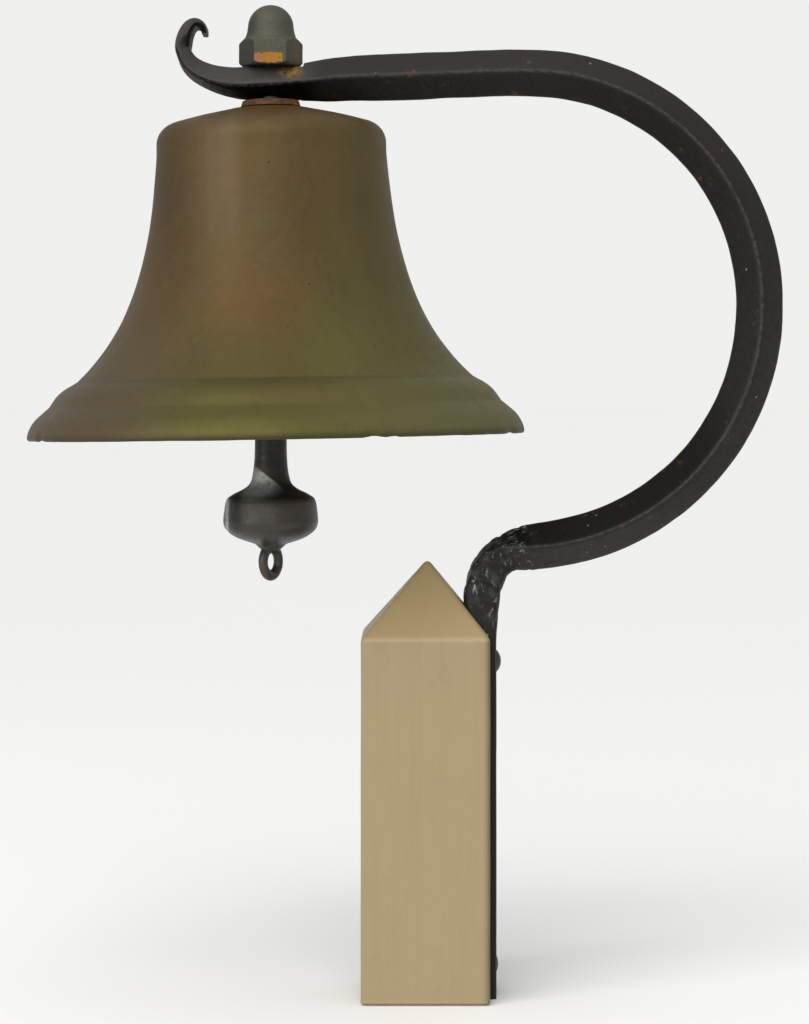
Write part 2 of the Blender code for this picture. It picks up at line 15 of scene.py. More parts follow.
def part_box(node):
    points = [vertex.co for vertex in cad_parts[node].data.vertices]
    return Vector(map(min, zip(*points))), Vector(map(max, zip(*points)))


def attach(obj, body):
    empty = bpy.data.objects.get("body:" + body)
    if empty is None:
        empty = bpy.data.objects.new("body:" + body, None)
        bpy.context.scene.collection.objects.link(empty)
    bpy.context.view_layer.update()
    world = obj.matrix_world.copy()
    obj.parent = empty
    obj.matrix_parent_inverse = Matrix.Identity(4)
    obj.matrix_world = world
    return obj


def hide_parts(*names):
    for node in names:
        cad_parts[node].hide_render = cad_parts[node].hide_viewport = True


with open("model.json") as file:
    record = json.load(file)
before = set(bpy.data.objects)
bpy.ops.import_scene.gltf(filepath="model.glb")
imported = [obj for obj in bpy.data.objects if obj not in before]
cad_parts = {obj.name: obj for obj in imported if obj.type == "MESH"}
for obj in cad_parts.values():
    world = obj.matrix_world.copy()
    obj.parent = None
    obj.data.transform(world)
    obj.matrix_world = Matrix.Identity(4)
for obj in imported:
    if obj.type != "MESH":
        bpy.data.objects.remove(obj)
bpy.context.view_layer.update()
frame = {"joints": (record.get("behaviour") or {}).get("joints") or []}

MM = 0.001


def reach(node, axis):
    """A CAD node's lowest and highest place along an axis, to a hundredth of a millimetre."""
    return [round(corner[axis], 5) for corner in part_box(node)]


# Places from the frame. A name in _Z is a height above the floor, and any other height is
# above the bell's mouth.
MOUTH_Z = 341.0 * MM
SWING = frame["joints"][0]
STUD_X = SWING["pos_m"][0]
PIVOT = SWING["pos_m"][2] - MOUTH_Z
PIN_TURN = math.atan2(SWING["axis"][1], SWING["axis"][0])
POST_WIDTH = 2 * reach("post", 1)[1]
NUT_TOP = reach("acorn_nut", 2)[1] - MOUTH_Z
CROWN_NUT_LOW, CROWN_NUT_HIGH = [z - MOUTH_Z for z in reach("crown_nut", 2)]

# Sizes that the CAD pieces have
BELL_LEAN = math.radians(1.0)
POST_EAVE_Z = 219.3 * MM
POST_APEX_Z = 266.5 * MM
POST_APEX_X = 1.5 * MM
POST_EDGE = 1.6 * MM
NUT_SEAT = 225.7 * MM
COLLAR_SEAT = 205.6 * MM
CROWN_TOP = 201.3 * MM
CROWN_INSIDE = 192.8 * MM
CROWN_WASHER_R = 15.0 * MM
CROWN_WASHER_BORE = 6.3 * MM
CROWN_WASHER_T = 2.5 * MM
CROWN_NUT_R = 11.0 * MM
BOLT_R = 6.0 * MM
BOLT_TOP = NUT_SEAT + 23.5 * MM
CLEAR_R = 6.8 * MM
COLLAR_R = 18.4 * MM
NUT_R = 19.7 * MM
NUT_DOME_R = 15.6 * MM
NUT_CAP_R = 14.1 * MM
NUT_HEX_TOP = 243.8 * MM
NUT_TURN = math.radians(1.5)
FORK_R = 14.0 * MM
FORK_WIDTH = 18.0 * MM
BOSS_LOW = PIVOT + 15.2 * MM
TONGUE_T = 8.0 * MM
TONGUE_R = 8.5 * MM
SIDE_PLAY = 0.5 * MM
PIN_HALF = 9.5 * MM
PIN_R = 4.0 * MM
PIN_TAIL = 8.0 * MM
PIN_HEAD_R = 6.2 * MM
PIN_HEAD_T = 3.0 * MM
PIN_WASHER_R = 7.0 * MM
PIN_WASHER_T = 1.4 * MM
PIN_SLACK = 0.08 * MM
SPLIT_PIN_X = 14.5 * MM
EYE_MAJOR = 7.35 * MM
EYE_MINOR = 3.1 * MM
EYE_STRETCH = 1.15
EYE_CENTRE = -76.9 * MM
STRAP_FACE_X = 43.4 * MM
GAP = 0.3 * MM
CUT_DEPTH = 30 * MM

# The bell's own frame, which leans: its origin is the centre of the mouth
HANG = (
    Matrix.Translation((STUD_X, 0.0, MOUTH_Z + CROWN_TOP))
    @ Matrix.Rotation(-BELL_LEAN, 4, "Y")
    @ Matrix.Translation((0.0, 0.0, -CROWN_TOP))
)

# Camera and light
EYE = (-0.0126, -1.8, 0.362)
SENSOR = 36.0
LENS = 103.3
VIEW_DROP = -0.1077  # the frame's centre lies below the eye's level, as a share of its height
SKY_SEEN = (0.87, 0.87, 0.86)
SKY_LIGHT = (0.575, 0.58, 0.59)
FLOOR_COLOR = (0.88, 0.875, 0.865)
FLOOR_R = 300.0
FLOOR_DROP = 0.4 * MM


# ---------------------------------------------------------------- stage


def add_new(name, data):
    """A new object in the scene that holds this data."""
    made = bpy.data.objects.new(name, data)
    bpy.context.scene.collection.objects.link(made)
    return made


def aim(thing, target):
    thing.rotation_euler = (Vector(target) - thing.location).to_track_quat("-Z", "Y").to_euler()


def add_camera():
    data = bpy.data.cameras.new("camera")
    data.sensor_fit = "VERTICAL"
    data.sensor_height = SENSOR
    data.lens = LENS
    data.shift_y = VIEW_DROP
    camera = add_new("camera", data)
    camera.location = EYE
    camera.rotation_euler = (math.pi / 2, 0.0, 0.0)
    bpy.context.scene.camera = camera


def add_light(name, kind, location, target, energy, **settings):
    data = bpy.data.lights.new(name, kind)
    data.energy = energy
    for key, value in settings.items():
        setattr(data, key, value)
    light = add_new(name, data)
    light.location = location
    aim(light, target)


def add_panel(name, location, target, energy, width, height):
    add_light(name, "AREA", location, target, energy, shape="RECTANGLE", size=width, size_y=height)


def add_world():
    world = bpy.data.worlds.new("studio")
    world.use_nodes = True
    tree = world.node_tree
    tree.nodes.clear()
    out = tree.nodes.new("ShaderNodeOutputWorld")
    ray = tree.nodes.new("ShaderNodeLightPath")
    mixed = tree.nodes.new("ShaderNodeMixShader")
    shades = []
    for color in (SKY_LIGHT, SKY_SEEN):
        shade = tree.nodes.new("ShaderNodeBackground")
        shade.inputs["Color"].default_value = (*color, 1.0)
        shades.append(shade)
    tree.links.new(ray.outputs["Is Camera Ray"], mixed.inputs[0])
    tree.links.new(shades[0].outputs[0], mixed.inputs[1])
    tree.links.new(shades[1].outputs[0], mixed.inputs[2])
    tree.links.new(mixed.outputs[0], out.inputs["Surface"])
    bpy.context.scene.world = world


def add_stage():
    add_camera()
    add_world()
    middle = (-0.02, 0.0, 0.36)
    ball = (-0.09, 0.0, 0.29)
    warm = (1.0, 0.99, 0.97)
    add_light("sky_panel", "SUN", (-0.7, -2.1, 1.9), middle, 2.4, angle=math.radians(60), color=warm)
    add_panel("left_panel", (-1.25, -0.85, 0.85), middle, 2.6, 0.25, 1.0)
    add_panel("top_panel", (0.0, -0.25, 1.6), middle, 2.5, 1.2, 0.8)
    add_panel("low_panel", (-0.85, -0.65, 0.31), ball, 1.1, 0.2, 0.25)
    bpy.context.scene.view_settings.view_transform = "Standard"


# ---------------------------------------------------------------- materials


class Paint:
    """One material's node tree. Its colour and its relief are built up in layers.

    base, lay, raise_by and finish work on those; every other method returns an output socket.
    """

    def __init__(self, name, own_frame=None):
        self.material = bpy.data.materials.new(name)
        self.material.use_nodes = True
        self.tree = self.material.node_tree
        self.shader = self.tree.nodes["Principled BSDF"]
        self.color = None
        self.relief = None
        self.place = self.tree.nodes.new("ShaderNodeTexCoord").outputs["Object"]
        if own_frame is not None:
            moved = {"Location": own_frame.to_translation(), "Rotation": own_frame.to_euler()}
            into = self.node("ShaderNodeMapping", {"Vector": self.place, **moved}, vector_type="TEXTURE")
            self.place = into.outputs[0]

    def node(self, kind, inputs, **settings):
        """A new node, whose inputs are given by their names or numbers."""
        made = self.tree.nodes.new(kind)
        for key, value in settings.items():
            setattr(made, key, value)
        for key, value in inputs.items():
            self.feed(made.inputs[key], value)
        return made

    def feed(self, socket, value):
        if isinstance(value, bpy.types.NodeSocket):
            self.tree.links.new(value, socket)
        elif socket.type == "RGBA" and len(value) == 3:
            socket.default_value = (*value, 1.0)
        else:
            socket.default_value = value

    def stretched(self, stretch):
        """The object's coordinates, with each axis divided by its stretch."""
        scale = [1.0 / s for s in stretch]
        return self.node("ShaderNodeMapping", {"Vector": self.place, "Scale": scale}).outputs[0]

    def axis(self, name):
        return self.node("ShaderNodeSeparateXYZ", {0: self.place}).outputs[name]

    def facing(self, name):
        """One component of the surface's normal in the world."""
        normal = self.node("ShaderNodeNewGeometry", {}).outputs["Normal"]
        return self.node("ShaderNodeSeparateXYZ", {0: normal}).outputs[name]

    def attribute(self, name):
        return self.node("ShaderNodeAttribute", {}, attribute_name=name).outputs["Fac"]

    def noise(self, size, detail=4.0, roughness=0.55, distortion=0.0, stretch=None):
        """Soft noise from 0 to 1 whose lumps are about size metres across."""
        place = self.stretched(stretch) if stretch else self.place
        inputs = {"Vector": place, "Scale": 1.0 / size, "Detail": detail}
        inputs.update({"Roughness": roughness, "Distortion": distortion})
        return self.node("ShaderNodeTexNoise", inputs).outputs[0]

    def cells(self, size):
        """Distance to the nearest of scattered points, in units of size."""
        inputs = {"Vector": self.place, "Scale": 1.0 / size}
        return self.node("ShaderNodeTexVoronoi", inputs).outputs["Distance"]

    def math(self, operation, first, second=0.0):
        return self.node("ShaderNodeMath", {0: first, 1: second}, operation=operation).outputs[0]

    def step(self, value, low, high, start=0.0, end=1.0):
        """value taken smoothly from start at low to end at high, and held outside."""
        inputs = {"Value": value, "From Min": low, "From Max": high, "To Min": start, "To Max": end}
        return self.node("ShaderNodeMapRange", inputs, interpolation_type="SMOOTHSTEP").outputs[0]

    def fall(self, value, low, high):
        """1 up to low, falling smoothly to 0 at high."""
        return self.step(value, low, high, 1.0, 0.0)

    def times(self, *values):
        made = values[0]
        for value in values[1:]:
            made = self.math("MULTIPLY", made, value)
        return made

    def mix(self, share, first, second):
        return self.node("ShaderNodeMix", {0: share, 6: first, 7: second}, data_type="RGBA").outputs[2]

    def band(self, value, low, high, soft):
        """1 between low and high, falling to 0 over soft on each side."""
        rise = self.step(value, low - soft, low + soft)
        return self.times(rise, self.fall(value, high - soft, high + soft))

    def distance(self, centre):
        made = self.node("ShaderNodeVectorMath", {0: self.place, 1: centre}, operation="DISTANCE")
        return made.outputs["Value"]

    def spot(self, centre, radius, soft):
        """1 within radius of a point, falling to 0 over soft."""
        return self.fall(self.distance(centre), radius, radius + soft)

    def base(self, share, first, second):
        """Starts the colour as a mix of two."""
        self.color = self.mix(share, first, second)

    def lay(self, tint, *shares):
        """Lays a tint over the colour so far; its strength is the product of its shares."""
        self.color = self.mix(self.times(*shares), self.color, tint)

    def raise_by(self, height, depth):
        """Adds height, times depth in metres, to the relief so far."""
        inputs = {"Strength": 1.0, "Distance": depth, "Height": height}
        if self.relief is not None:
            inputs["Normal"] = self.relief
        self.relief = self.node("ShaderNodeBump", inputs).outputs[0]

    def finish(self, roughness, metallic=0.0, specular=0.5):
        self.feed(self.shader.inputs["Base Color"], self.color)
        self.feed(self.shader.inputs["Roughness"], roughness)
        self.feed(self.shader.inputs["Metallic"], metallic)
        self.feed(self.shader.inputs["Specular IOR Level"], specular)
        if self.relief is not None:
            self.feed(self.shader.inputs["Normal"], self.relief)
        return self.material


def bell_outside():
    """Satin bronze: brown above, olive low down and to the right, with painted shade on its left edge,
    its middle, its bead and its lip, a painted highlight on its upper left and painted light on its
    right.
    """
    paint = Paint("bell_bronze_outside", HANG)
    height = paint.axis("Z")
    side = paint.axis("X")
    cloud = paint.noise(0.16, 3.0)
    drift = paint.noise(0.05, 4.0)
    brown = paint.mix(drift, (0.070, 0.045, 0.019), (0.092, 0.059, 0.025))
    olive = paint.mix(drift, (0.070, 0.065, 0.018), (0.090, 0.085, 0.025))
    mauve = paint.mix(drift, (0.074, 0.052, 0.034), (0.092, 0.066, 0.044))
    rightness = paint.step(paint.math("ADD", side, paint.math("MULTIPLY", cloud, 0.10)), -0.01, 0.16)
    rightness = paint.times(rightness, paint.step(height, 0.060, 0.150, 1.0, 0.45))
    lowness = paint.fall(paint.math("ADD", height, paint.math("MULTIPLY", cloud, 0.10)), 0.04, 0.15)
    paint.base(paint.math("MAXIMUM", rightness, lowness), brown, olive)
    left_low = paint.times(paint.fall(side, -0.10, -0.03), paint.fall(height, 0.03, 0.11))
    paint.lay(mauve, left_low, 0.8)
    # Painted shade: a darker band down the left edge of the upper waist.
    painted_left_shade = paint.times(paint.fall(side, -0.068, -0.040), paint.step(height, 0.09, 0.15))
    paint.lay((0.050, 0.034, 0.016), painted_left_shade, 0.7)
    ruddy = paint.spot((-0.001, -0.085, 0.078), 0.002, 0.040)
    paint.lay((0.118, 0.050, 0.016), ruddy, paint.step(drift, 0.35, 0.6, 0.1, 0.42))
    green = paint.spot((0.065, -0.085, 0.040), 0.002, 0.065)
    paint.lay((0.064, 0.078, 0.014), green, paint.step(drift, 0.35, 0.6, 0.15, 0.35))
    # Painted shade: the middle of the waist, just right of centre, darkened.
    waist = paint.times(paint.band(height, 0.050, 0.150, 0.030), paint.band(side, -0.015, 0.020, 0.020))
    paint.lay((0.040, 0.025, 0.012), waist, 0.35)
    # Painted highlight: a lighter vertical band on the upper left of the waist, soft on its left and
    # crisp on its right.
    left_soft = paint.step(side, -0.056, -0.030)
    right_crisp = paint.fall(side, -0.022, -0.011)
    sheen = paint.times(left_soft, right_crisp, paint.step(height, 0.085, 0.175, 0.0, 0.28))
    paint.lay((0.150, 0.112, 0.072), sheen)
    # Painted light: the right side, away from the key light, lightened.
    painted_right_fill_light = paint.step(side, 0.015, 0.060, 0.0, 0.18)
    paint.lay((0.165, 0.128, 0.064), painted_right_fill_light)
    tan = paint.step(height, 0.186, 0.198)
    paint.lay((0.098, 0.052, 0.018), tan, 0.60)
    streaks = paint.noise(0.012, 4.0, 0.6, stretch=(1.0, 1.0, 7.0))
    paint.lay((0.058, 0.046, 0.022), paint.step(streaks, 0.45, 0.75, 0.0, 0.25))
    mottle = paint.noise(0.006, 5.0, 0.65)
    paint.lay((0.118, 0.086, 0.036), paint.step(mottle, 0.50, 0.80, 0.0, 0.30))
    bloom = paint.step(paint.noise(0.030, 5.0, 0.6), 0.55, 0.75)
    paint.lay((0.072, 0.084, 0.018), bloom, paint.step(height, 0.0, 0.08, 0.45, 0.12))
    # Painted light: the lower right, towards the lip, paler and greyer.
    painted_low_right_light = paint.step(side, 0.045, 0.110)
    paint.lay((0.140, 0.140, 0.068), painted_low_right_light, paint.step(height, 0.0, 0.055, 0.45, 0.0))
    # Painted shade: a thin dark line along the bead's crease.
    crease = paint.band(height, 0.0337, 0.0349, 0.0010)
    paint.lay((0.048, 0.042, 0.018), crease, 0.4)
    # Painted shadow: the lowest few millimetres of the lip darkened.
    edge = paint.step(height, 0.0005, 0.0050, 0.7, 0.0)
    paint.lay((0.040, 0.038, 0.020), edge)
    pitted = paint.step(paint.noise(0.02), 0.50, 0.62)
    pits = paint.times(paint.fall(paint.cells(0.011), 0.030, 0.060), pitted)
    paint.lay((0.018, 0.014, 0.008), pits, 0.8)
    roughness = paint.step(paint.math("ADD", mottle, drift), 0.7, 1.3, 0.42, 0.58)
    paint.raise_by(paint.noise(0.0016, 3.0), 0.00008)
    paint.raise_by(mottle, 0.0003)
    paint.raise_by(pits, -0.0005)
    return paint.finish(roughness, 0.42, specular=0.08)


def bell_inside():
    """The unpolished inside of the casting, dark and sandy."""
    paint = Paint("bell_bronze_inside", HANG)
    sand = paint.noise(0.0025, 5.0, 0.65)
    cloud = paint.noise(0.04, 4.0)
    paint.base(cloud, (0.042, 0.036, 0.020), (0.080, 0.066, 0.034))
    paint.lay((0.050, 0.070, 0.040), paint.step(sand, 0.5, 0.8, 0.0, 0.5))
    struck = paint.band(paint.axis("Z"), 0.006, 0.024, 0.006)
    paint.lay((0.22, 0.17, 0.08), struck, paint.step(cloud, 0.5, 0.7), 0.4)
    paint.raise_by(sand, 0.0006)
    return paint.finish(paint.step(sand, 0.3, 0.8, 0.5, 0.75), 0.4)


def forged_iron():
    """Old black paint on hammered iron: dusty above, worn on its ridges and flecked with rust, with
    painted light on its upper faces and under the crook, painted shade inside the crook's lower part and
    painted glints on the neck.
    """
    paint = Paint("forged_iron_painted")
    up = paint.facing("Z")
    height = paint.axis("Z")
    cloud = paint.noise(0.035, 4.0)
    grain = paint.noise(0.0035, 5.0, 0.65)
    paint.base(cloud, (0.0078, 0.0066, 0.0054), (0.0120, 0.0104, 0.0084))
    # Faces that look up, on the arm and higher, are lighter: partly dirt settled on them, partly painted
    # light.
    dust_and_painted_top_light = paint.times(paint.step(up, -0.05, 0.75), paint.step(grain, 0.2, 0.8, 0.6, 0.9))
    paint.lay((0.0125, 0.0110, 0.0086), dust_and_painted_top_light, paint.step(height, 0.36, 0.50))
    scroll = paint.fall(paint.axis("X"), -0.078, -0.060)
    lit = paint.times(scroll, paint.step(paint.math("ADD", up, paint.times(grain, 0.2)), 0.05, 0.12))
    paint.lay((0.046, 0.042, 0.036), lit, 0.6)
    shaded = paint.times(scroll, paint.step(up, -0.12, 0.02, 0.95, 0.0))
    paint.lay((0.0030, 0.0027, 0.0024), shaded)
    # Painted shade: faces that look up, low in the crook, darkened.
    painted_hollow_shade = paint.times(paint.step(up, 0.05, 0.45), paint.step(height, 0.30, 0.44, 0.8, 0.0))
    paint.lay((0.0060, 0.0054, 0.0045), painted_hollow_shade)
    sheen = paint.step(paint.math("MAXIMUM", shaded, painted_hollow_shade), 0.0, 0.9, 0.20, 0.05)
    # Painted light: faces that look down, at the bottom of the crook, lightened as by light off the
    # floor.
    under = paint.times(paint.step(up, -0.80, -0.35, 0.65, 0.0), paint.fall(height, 0.26, 0.34))
    paint.lay((0.034, 0.031, 0.027), under)
    ridge = paint.times(paint.attribute("ridge"), paint.step(grain, 0.35, 0.65, 0.1, 0.8))
    paint.lay((0.050, 0.046, 0.040), ridge)
    folds = paint.attribute("folds")
    fold_tint = paint.times(folds, paint.step(paint.noise(0.006, 4.0), 0.45, 0.65, 0.0, 0.8))
    paint.lay((0.040, 0.043, 0.037), fold_tint, 0.75)
    rust = paint.step(paint.noise(0.009, 6.0, 0.7), 0.60, 0.70)
    paint.lay((0.075, 0.031, 0.014), rust, paint.step(cloud, 0.40, 0.60), 0.75)
    chipped = paint.step(paint.noise(0.022), 0.56, 0.66)
    chips = paint.times(paint.fall(paint.cells(0.0065), 0.08, 0.15), chipped)
    paint.lay((0.20, 0.19, 0.165), chips, 0.8)
    # Painted highlights: pale glints in streaks over the neck's folds; the same marks are sunk a little
    # in the relief.
    glint_streaks = paint.noise(0.0022, 3.0, 0.55, 0.4, stretch=(1.6, 1.0, 3.6))
    glints = paint.times(folds, paint.step(glint_streaks, 0.58, 0.72))
    paint.lay((0.32, 0.32, 0.285), glints, 0.75)
    stain = paint.spot((-0.082, -0.012, 0.565), 0.003, 0.008)
    paint.lay((0.150, 0.092, 0.018), stain, paint.step(paint.noise(0.004), 0.3, 0.6))
    roughness = paint.step(grain, 0.3, 0.7, 0.38, 0.60)
    paint.raise_by(grain, 0.00035)
    paint.raise_by(paint.noise(0.0011, 3.0), 0.00012)
    paint.raise_by(paint.math("ADD", chips, glints), -0.0003)
    return paint.finish(roughness, specular=sheen)


def nut_bronze():
    """Olive-grey verdigris, with an orange rust patch at the foot of the front flat."""
    paint = Paint("nut_bronze_verdigris")
    cloud = paint.noise(0.012, 4.0)
    grain = paint.noise(0.0016, 5.0, 0.65)
    paint.base(cloud, (0.044, 0.046, 0.029), (0.070, 0.070, 0.046))
    paint.lay((0.036, 0.034, 0.024), paint.step(grain, 0.5, 0.8, 0.0, 0.5))
    # Painted shadow: the lowest few millimetres of the nut darkened where it sits over the bar.
    foot = paint.fall(paint.axis("Z"), 0.5665, 0.5700)
    paint.lay((0.020, 0.020, 0.017), foot, 0.8)
    # Painted shade: the flats that face left darkened.
    left = paint.step(paint.facing("X"), -0.75, -0.45, 0.65, 0.0)
    paint.lay((0.024, 0.025, 0.023), left)
    right_stain = paint.spot((-0.076, -0.009, 0.572), 0.003, 0.008)
    paint.lay((0.130, 0.060, 0.022), right_stain, paint.step(cloud, 0.3, 0.6), 0.5)
    ragged = paint.math("MULTIPLY", paint.noise(0.0025, 3.0), 0.0040)
    edge = paint.math("ADD", paint.axis("Z"), ragged)
    front = paint.fall(paint.facing("Y"), -0.95, -0.8)
    width = paint.band(paint.axis("X"), -0.1042, -0.0868, 0.0006)
    patch = paint.times(front, width, paint.band(edge, 0.5702, 0.5759, 0.0004))
    orange = paint.step(paint.axis("X"), -0.1010, -0.0975)
    rust = paint.mix(orange, (0.250, 0.098, 0.040), (0.280, 0.122, 0.006))
    rust = paint.mix(paint.step(cloud, 0.45, 0.60, 0.0, 0.6), rust, (0.225, 0.078, 0.008))
    paint.lay(rust, patch)
    speck = paint.spot((-0.0885, -0.0170, 0.5712), 0.0003, 0.0005)
    paint.lay((0.060, 0.024, 0.010), speck, 0.8)
    drip = paint.times(front, width, paint.band(edge, 0.5683, 0.5700, 0.0005))
    paint.lay((0.090, 0.020, 0.009), drip, 0.85)
    paint.raise_by(grain, 0.0002)
    return paint.finish(paint.step(grain, 0.3, 0.7, 0.5, 0.7), 0.2, specular=0.3)


def collar_rust():
    """Flaking rust, brightest at the right."""
    paint = Paint("collar_rusted", HANG)
    flakes = paint.noise(0.0032, 6.0, 0.7)
    paint.base(paint.step(flakes, 0.35, 0.7), (0.052, 0.024, 0.010), (0.120, 0.060, 0.022))
    bright = paint.times(paint.step(paint.axis("X"), 0.013, 0.017), paint.step(flakes, 0.4, 0.55))
    paint.lay((0.380, 0.190, 0.022), bright)
    paint.raise_by(flakes, 0.0007)
    return paint.finish(0.8, 0.1, specular=0.25)


def dark_bronze(name, shank_and_painted_light=False):
    """Bronze gone dark grey-brown. The clapper's version has a darker shank, a painted highlight on the
    left of its flare, painted shade on its left side and a painted highlight along its left edge.
    """
    paint = Paint(name)
    cloud = paint.noise(0.022, 4.0)
    grain = paint.noise(0.0028, 5.0, 0.65)
    paint.base(cloud, (0.028, 0.028, 0.020), (0.046, 0.043, 0.032))
    pink = paint.step(paint.noise(0.024, 3.0, 0.5), 0.50, 0.62, 0.0, 0.5)
    paint.lay((0.076, 0.052, 0.044), pink)
    green = paint.step(paint.noise(0.018, 4.0, 0.6), 0.56, 0.70, 0.0, 0.6)
    paint.lay((0.044, 0.051, 0.038), green)
    if shank_and_painted_light:
        shank = paint.step(paint.axis("Z"), 0.316, 0.326, 0.0, 0.7)
        paint.lay((0.014, 0.014, 0.011), shank)
        # Painted highlight: a pale patch on the upper left of the flare.
        slope = paint.math("ADD", paint.axis("Z"), paint.math("MULTIPLY", paint.axis("X"), 0.75))
        painted_flare_highlight = paint.times(
            paint.spot((-0.1010, -0.014, 0.3125), 0.006, 0.012),
            paint.fall(slope, 0.2436, 0.2456),
            paint.step(grain, 0.30, 0.60, 0.5, 0.9),
        )
        paint.lay((0.52, 0.54, 0.50), painted_flare_highlight)
        # Painted shade: a dark band just inside the left edge.
        left = paint.band(paint.axis("X"), -0.1185, -0.1120, 0.0030)
        paint.lay((0.010, 0.012, 0.009), left, 0.8)
        # Painted highlight: a thin bright line along the left edge.
        painted_rim_highlight = paint.band(paint.axis("X"), -0.1216, -0.1196, 0.0006)
        paint.lay((0.36, 0.37, 0.34), painted_rim_highlight, paint.step(grain, 0.30, 0.60, 0.4, 0.9))
    paint.raise_by(grain, 0.00025)
    return paint.finish(paint.step(grain, 0.3, 0.7, 0.34, 0.50), 0.4)


def post_paint():
    """Tan gloss paint, brushed upwards on planed timber whose grain shows through."""
    paint = Paint("post_paint_tan")
    grain = paint.noise(0.0045, 5.0, 0.6, stretch=(1.0, 1.0, 22.0))
    brush = paint.noise(0.0012, 3.0, 0.5, stretch=(1.0, 1.0, 60.0))
    cloud = paint.noise(0.09, 3.0)
    paint.base(cloud, (0.272, 0.208, 0.110), (0.294, 0.227, 0.124))
    paint.lay((0.250, 0.191, 0.098), paint.step(grain, 0.45, 0.75, 0.0, 0.30))
    grime = paint.step(paint.noise(0.02, 5.0, 0.7), 0.5, 0.8)
    paint.lay((0.212, 0.170, 0.092), grime, 0.35)
    edge = paint.attribute("arris")
    # Darker towards the right edge and darkest on the right arris: painted shade from the strap, with a
    # pinkish brown tint on the arris.
    right = paint.step(paint.axis("X"), 0.0330, 0.0365)
    paint.lay((0.226, 0.184, 0.094), right, 0.8)
    paint.lay((0.080, 0.056, 0.030), edge, right, 0.95)
    eave = paint.band(paint.axis("Z"), POST_EAVE_Z - 0.0012, POST_EAVE_Z + 0.0004, 0.0008)
    paint.lay((0.37, 0.30, 0.18), eave, 0.35)
    # Painted shade on the left edge, with a greener tint.
    left = paint.step(paint.axis("X"), -0.0391, -0.0340, 0.45, 0.0)
    paint.lay((0.240, 0.198, 0.095), left)
    top = paint.step(paint.facing("Z"), 0.25, 0.55, 0.0, 0.6)
    paint.lay((0.375, 0.278, 0.130), top)
    paint.raise_by(grain, 0.00025)
    paint.raise_by(brush, 0.00006)
    return paint.finish(paint.step(brush, 0.3, 0.7, 0.34, 0.46), specular=0.4)


def end_grain():
    """The sawn foot of the post: growth rings about a heart outside the section."""
    paint = Paint("post_end_grain")
    heart = paint.distance((0.020, 0.060, 0.0))
    warped = paint.math("ADD", heart, paint.math("MULTIPLY", paint.noise(0.03), 0.006))
    wave = paint.math("SINE", paint.math("MULTIPLY", warped, math.tau / 0.0034))
    paint.base(paint.step(wave, -0.2, 0.9), (0.42, 0.27, 0.13), (0.22, 0.12, 0.05))
    saw = paint.noise(0.0015, 3.0, stretch=(1.0, 9.0, 1.0))
    paint.lay((0.16, 0.11, 0.06), paint.step(saw, 0.5, 0.8, 0.0, 0.4))
    paint.raise_by(saw, 0.0004)
    return paint.finish(0.8, specular=0.25)


def plated_steel():
    """Dull plated steel with brown bloom."""
    paint = Paint("inner_steel_dull")
    grain = paint.noise(0.0015, 5.0, 0.65)
    bloom = paint.noise(0.006, 5.0, 0.7)
    paint.base(grain, (0.24, 0.23, 0.21), (0.36, 0.35, 0.33))
    paint.lay((0.13, 0.075, 0.040), paint.step(bloom, 0.5, 0.7, 0.0, 0.75))
    paint.raise_by(grain, 0.00012)
    return paint.finish(paint.step(bloom, 0.35, 0.7, 0.35, 0.65), 0.85)


def screw_steel():
    """Darkened steel with a little rust."""
    paint = Paint("screw_steel_dark")
    grain = paint.noise(0.0014, 5.0, 0.65)
    paint.base(grain, (0.022, 0.024, 0.022), (0.046, 0.048, 0.044))
    paint.lay((0.050, 0.030, 0.020), paint.step(paint.noise(0.004, 4.0), 0.55, 0.7, 0.0, 0.7))
    paint.raise_by(grain, 0.00015)
    return paint.finish(0.48, 0.6)


def floor_paint():
    """Pale matt paint."""
    paint = Paint("floor_matt")
    cloud = paint.noise(0.6, 3.0)
    darker = [0.985 * value for value in FLOOR_COLOR]
    paint.base(cloud, FLOOR_COLOR, darker)
    return paint.finish(0.85, specular=0.2)


# ---------------------------------------------------------------- mesh helpers


def add_object(name, bm, *materials):
    mesh = bpy.data.meshes.new(name)
    bmesh.ops.recalc_face_normals(bm, faces=bm.faces)
    bm.to_mesh(mesh)
    bm.free()
    for material in materials:
        mesh.materials.append(material)
    return add_new(name, mesh)


def final_mesh(thing):
    bpy.context.view_layer.update()
    graph = bpy.context.evaluated_depsgraph_get()
    return bpy.data.meshes.new_from_object(thing.evaluated_get(graph))


def apply_modifiers(thing):
    mesh = final_mesh(thing)
    thing.modifiers.clear()
    thing.data = mesh


def boolean(thing, cutter, operation="DIFFERENCE"):
    """Applies one exact Boolean and removes the other object."""
    step = thing.modifiers.new("boolean", "BOOLEAN")
    step.operation = operation
    step.solver = "EXACT"
    step.object = cutter
    apply_modifiers(thing)
    bpy.data.objects.remove(cutter)


def remesh(thing, voxel, passes):
    """Rounds off edges by rebuilding the surface from small cubes and relaxing it."""
    cubes = thing.modifiers.new("cubes", "REMESH")
    cubes.mode = "VOXEL"
    cubes.voxel_size = voxel
    relax = thing.modifiers.new("relax", "SMOOTH")
    relax.factor = 0.5
    relax.iterations = passes
    apply_modifiers(thing)


def ease(thing, width, segments=3):
    edges = thing.modifiers.new("eased", "BEVEL")
    edges.width = width
    edges.segments = segments
    edges.limit_method = "ANGLE"
    edges.angle_limit = math.radians(35)
    apply_modifiers(thing)


def smooth(thing, degrees):
    thing.data.shade_smooth()
    thing.data.set_sharp_from_angle(angle=math.radians(degrees))


def push(thing, depth_at):
    """Moves each point along its normal by depth_at(point)."""
    moved = [vert.co + vert.normal * depth_at(vert.co) for vert in thing.data.vertices]
    for vert, spot in zip(thing.data.vertices, moved):
        vert.co = spot
    thing.data.update()


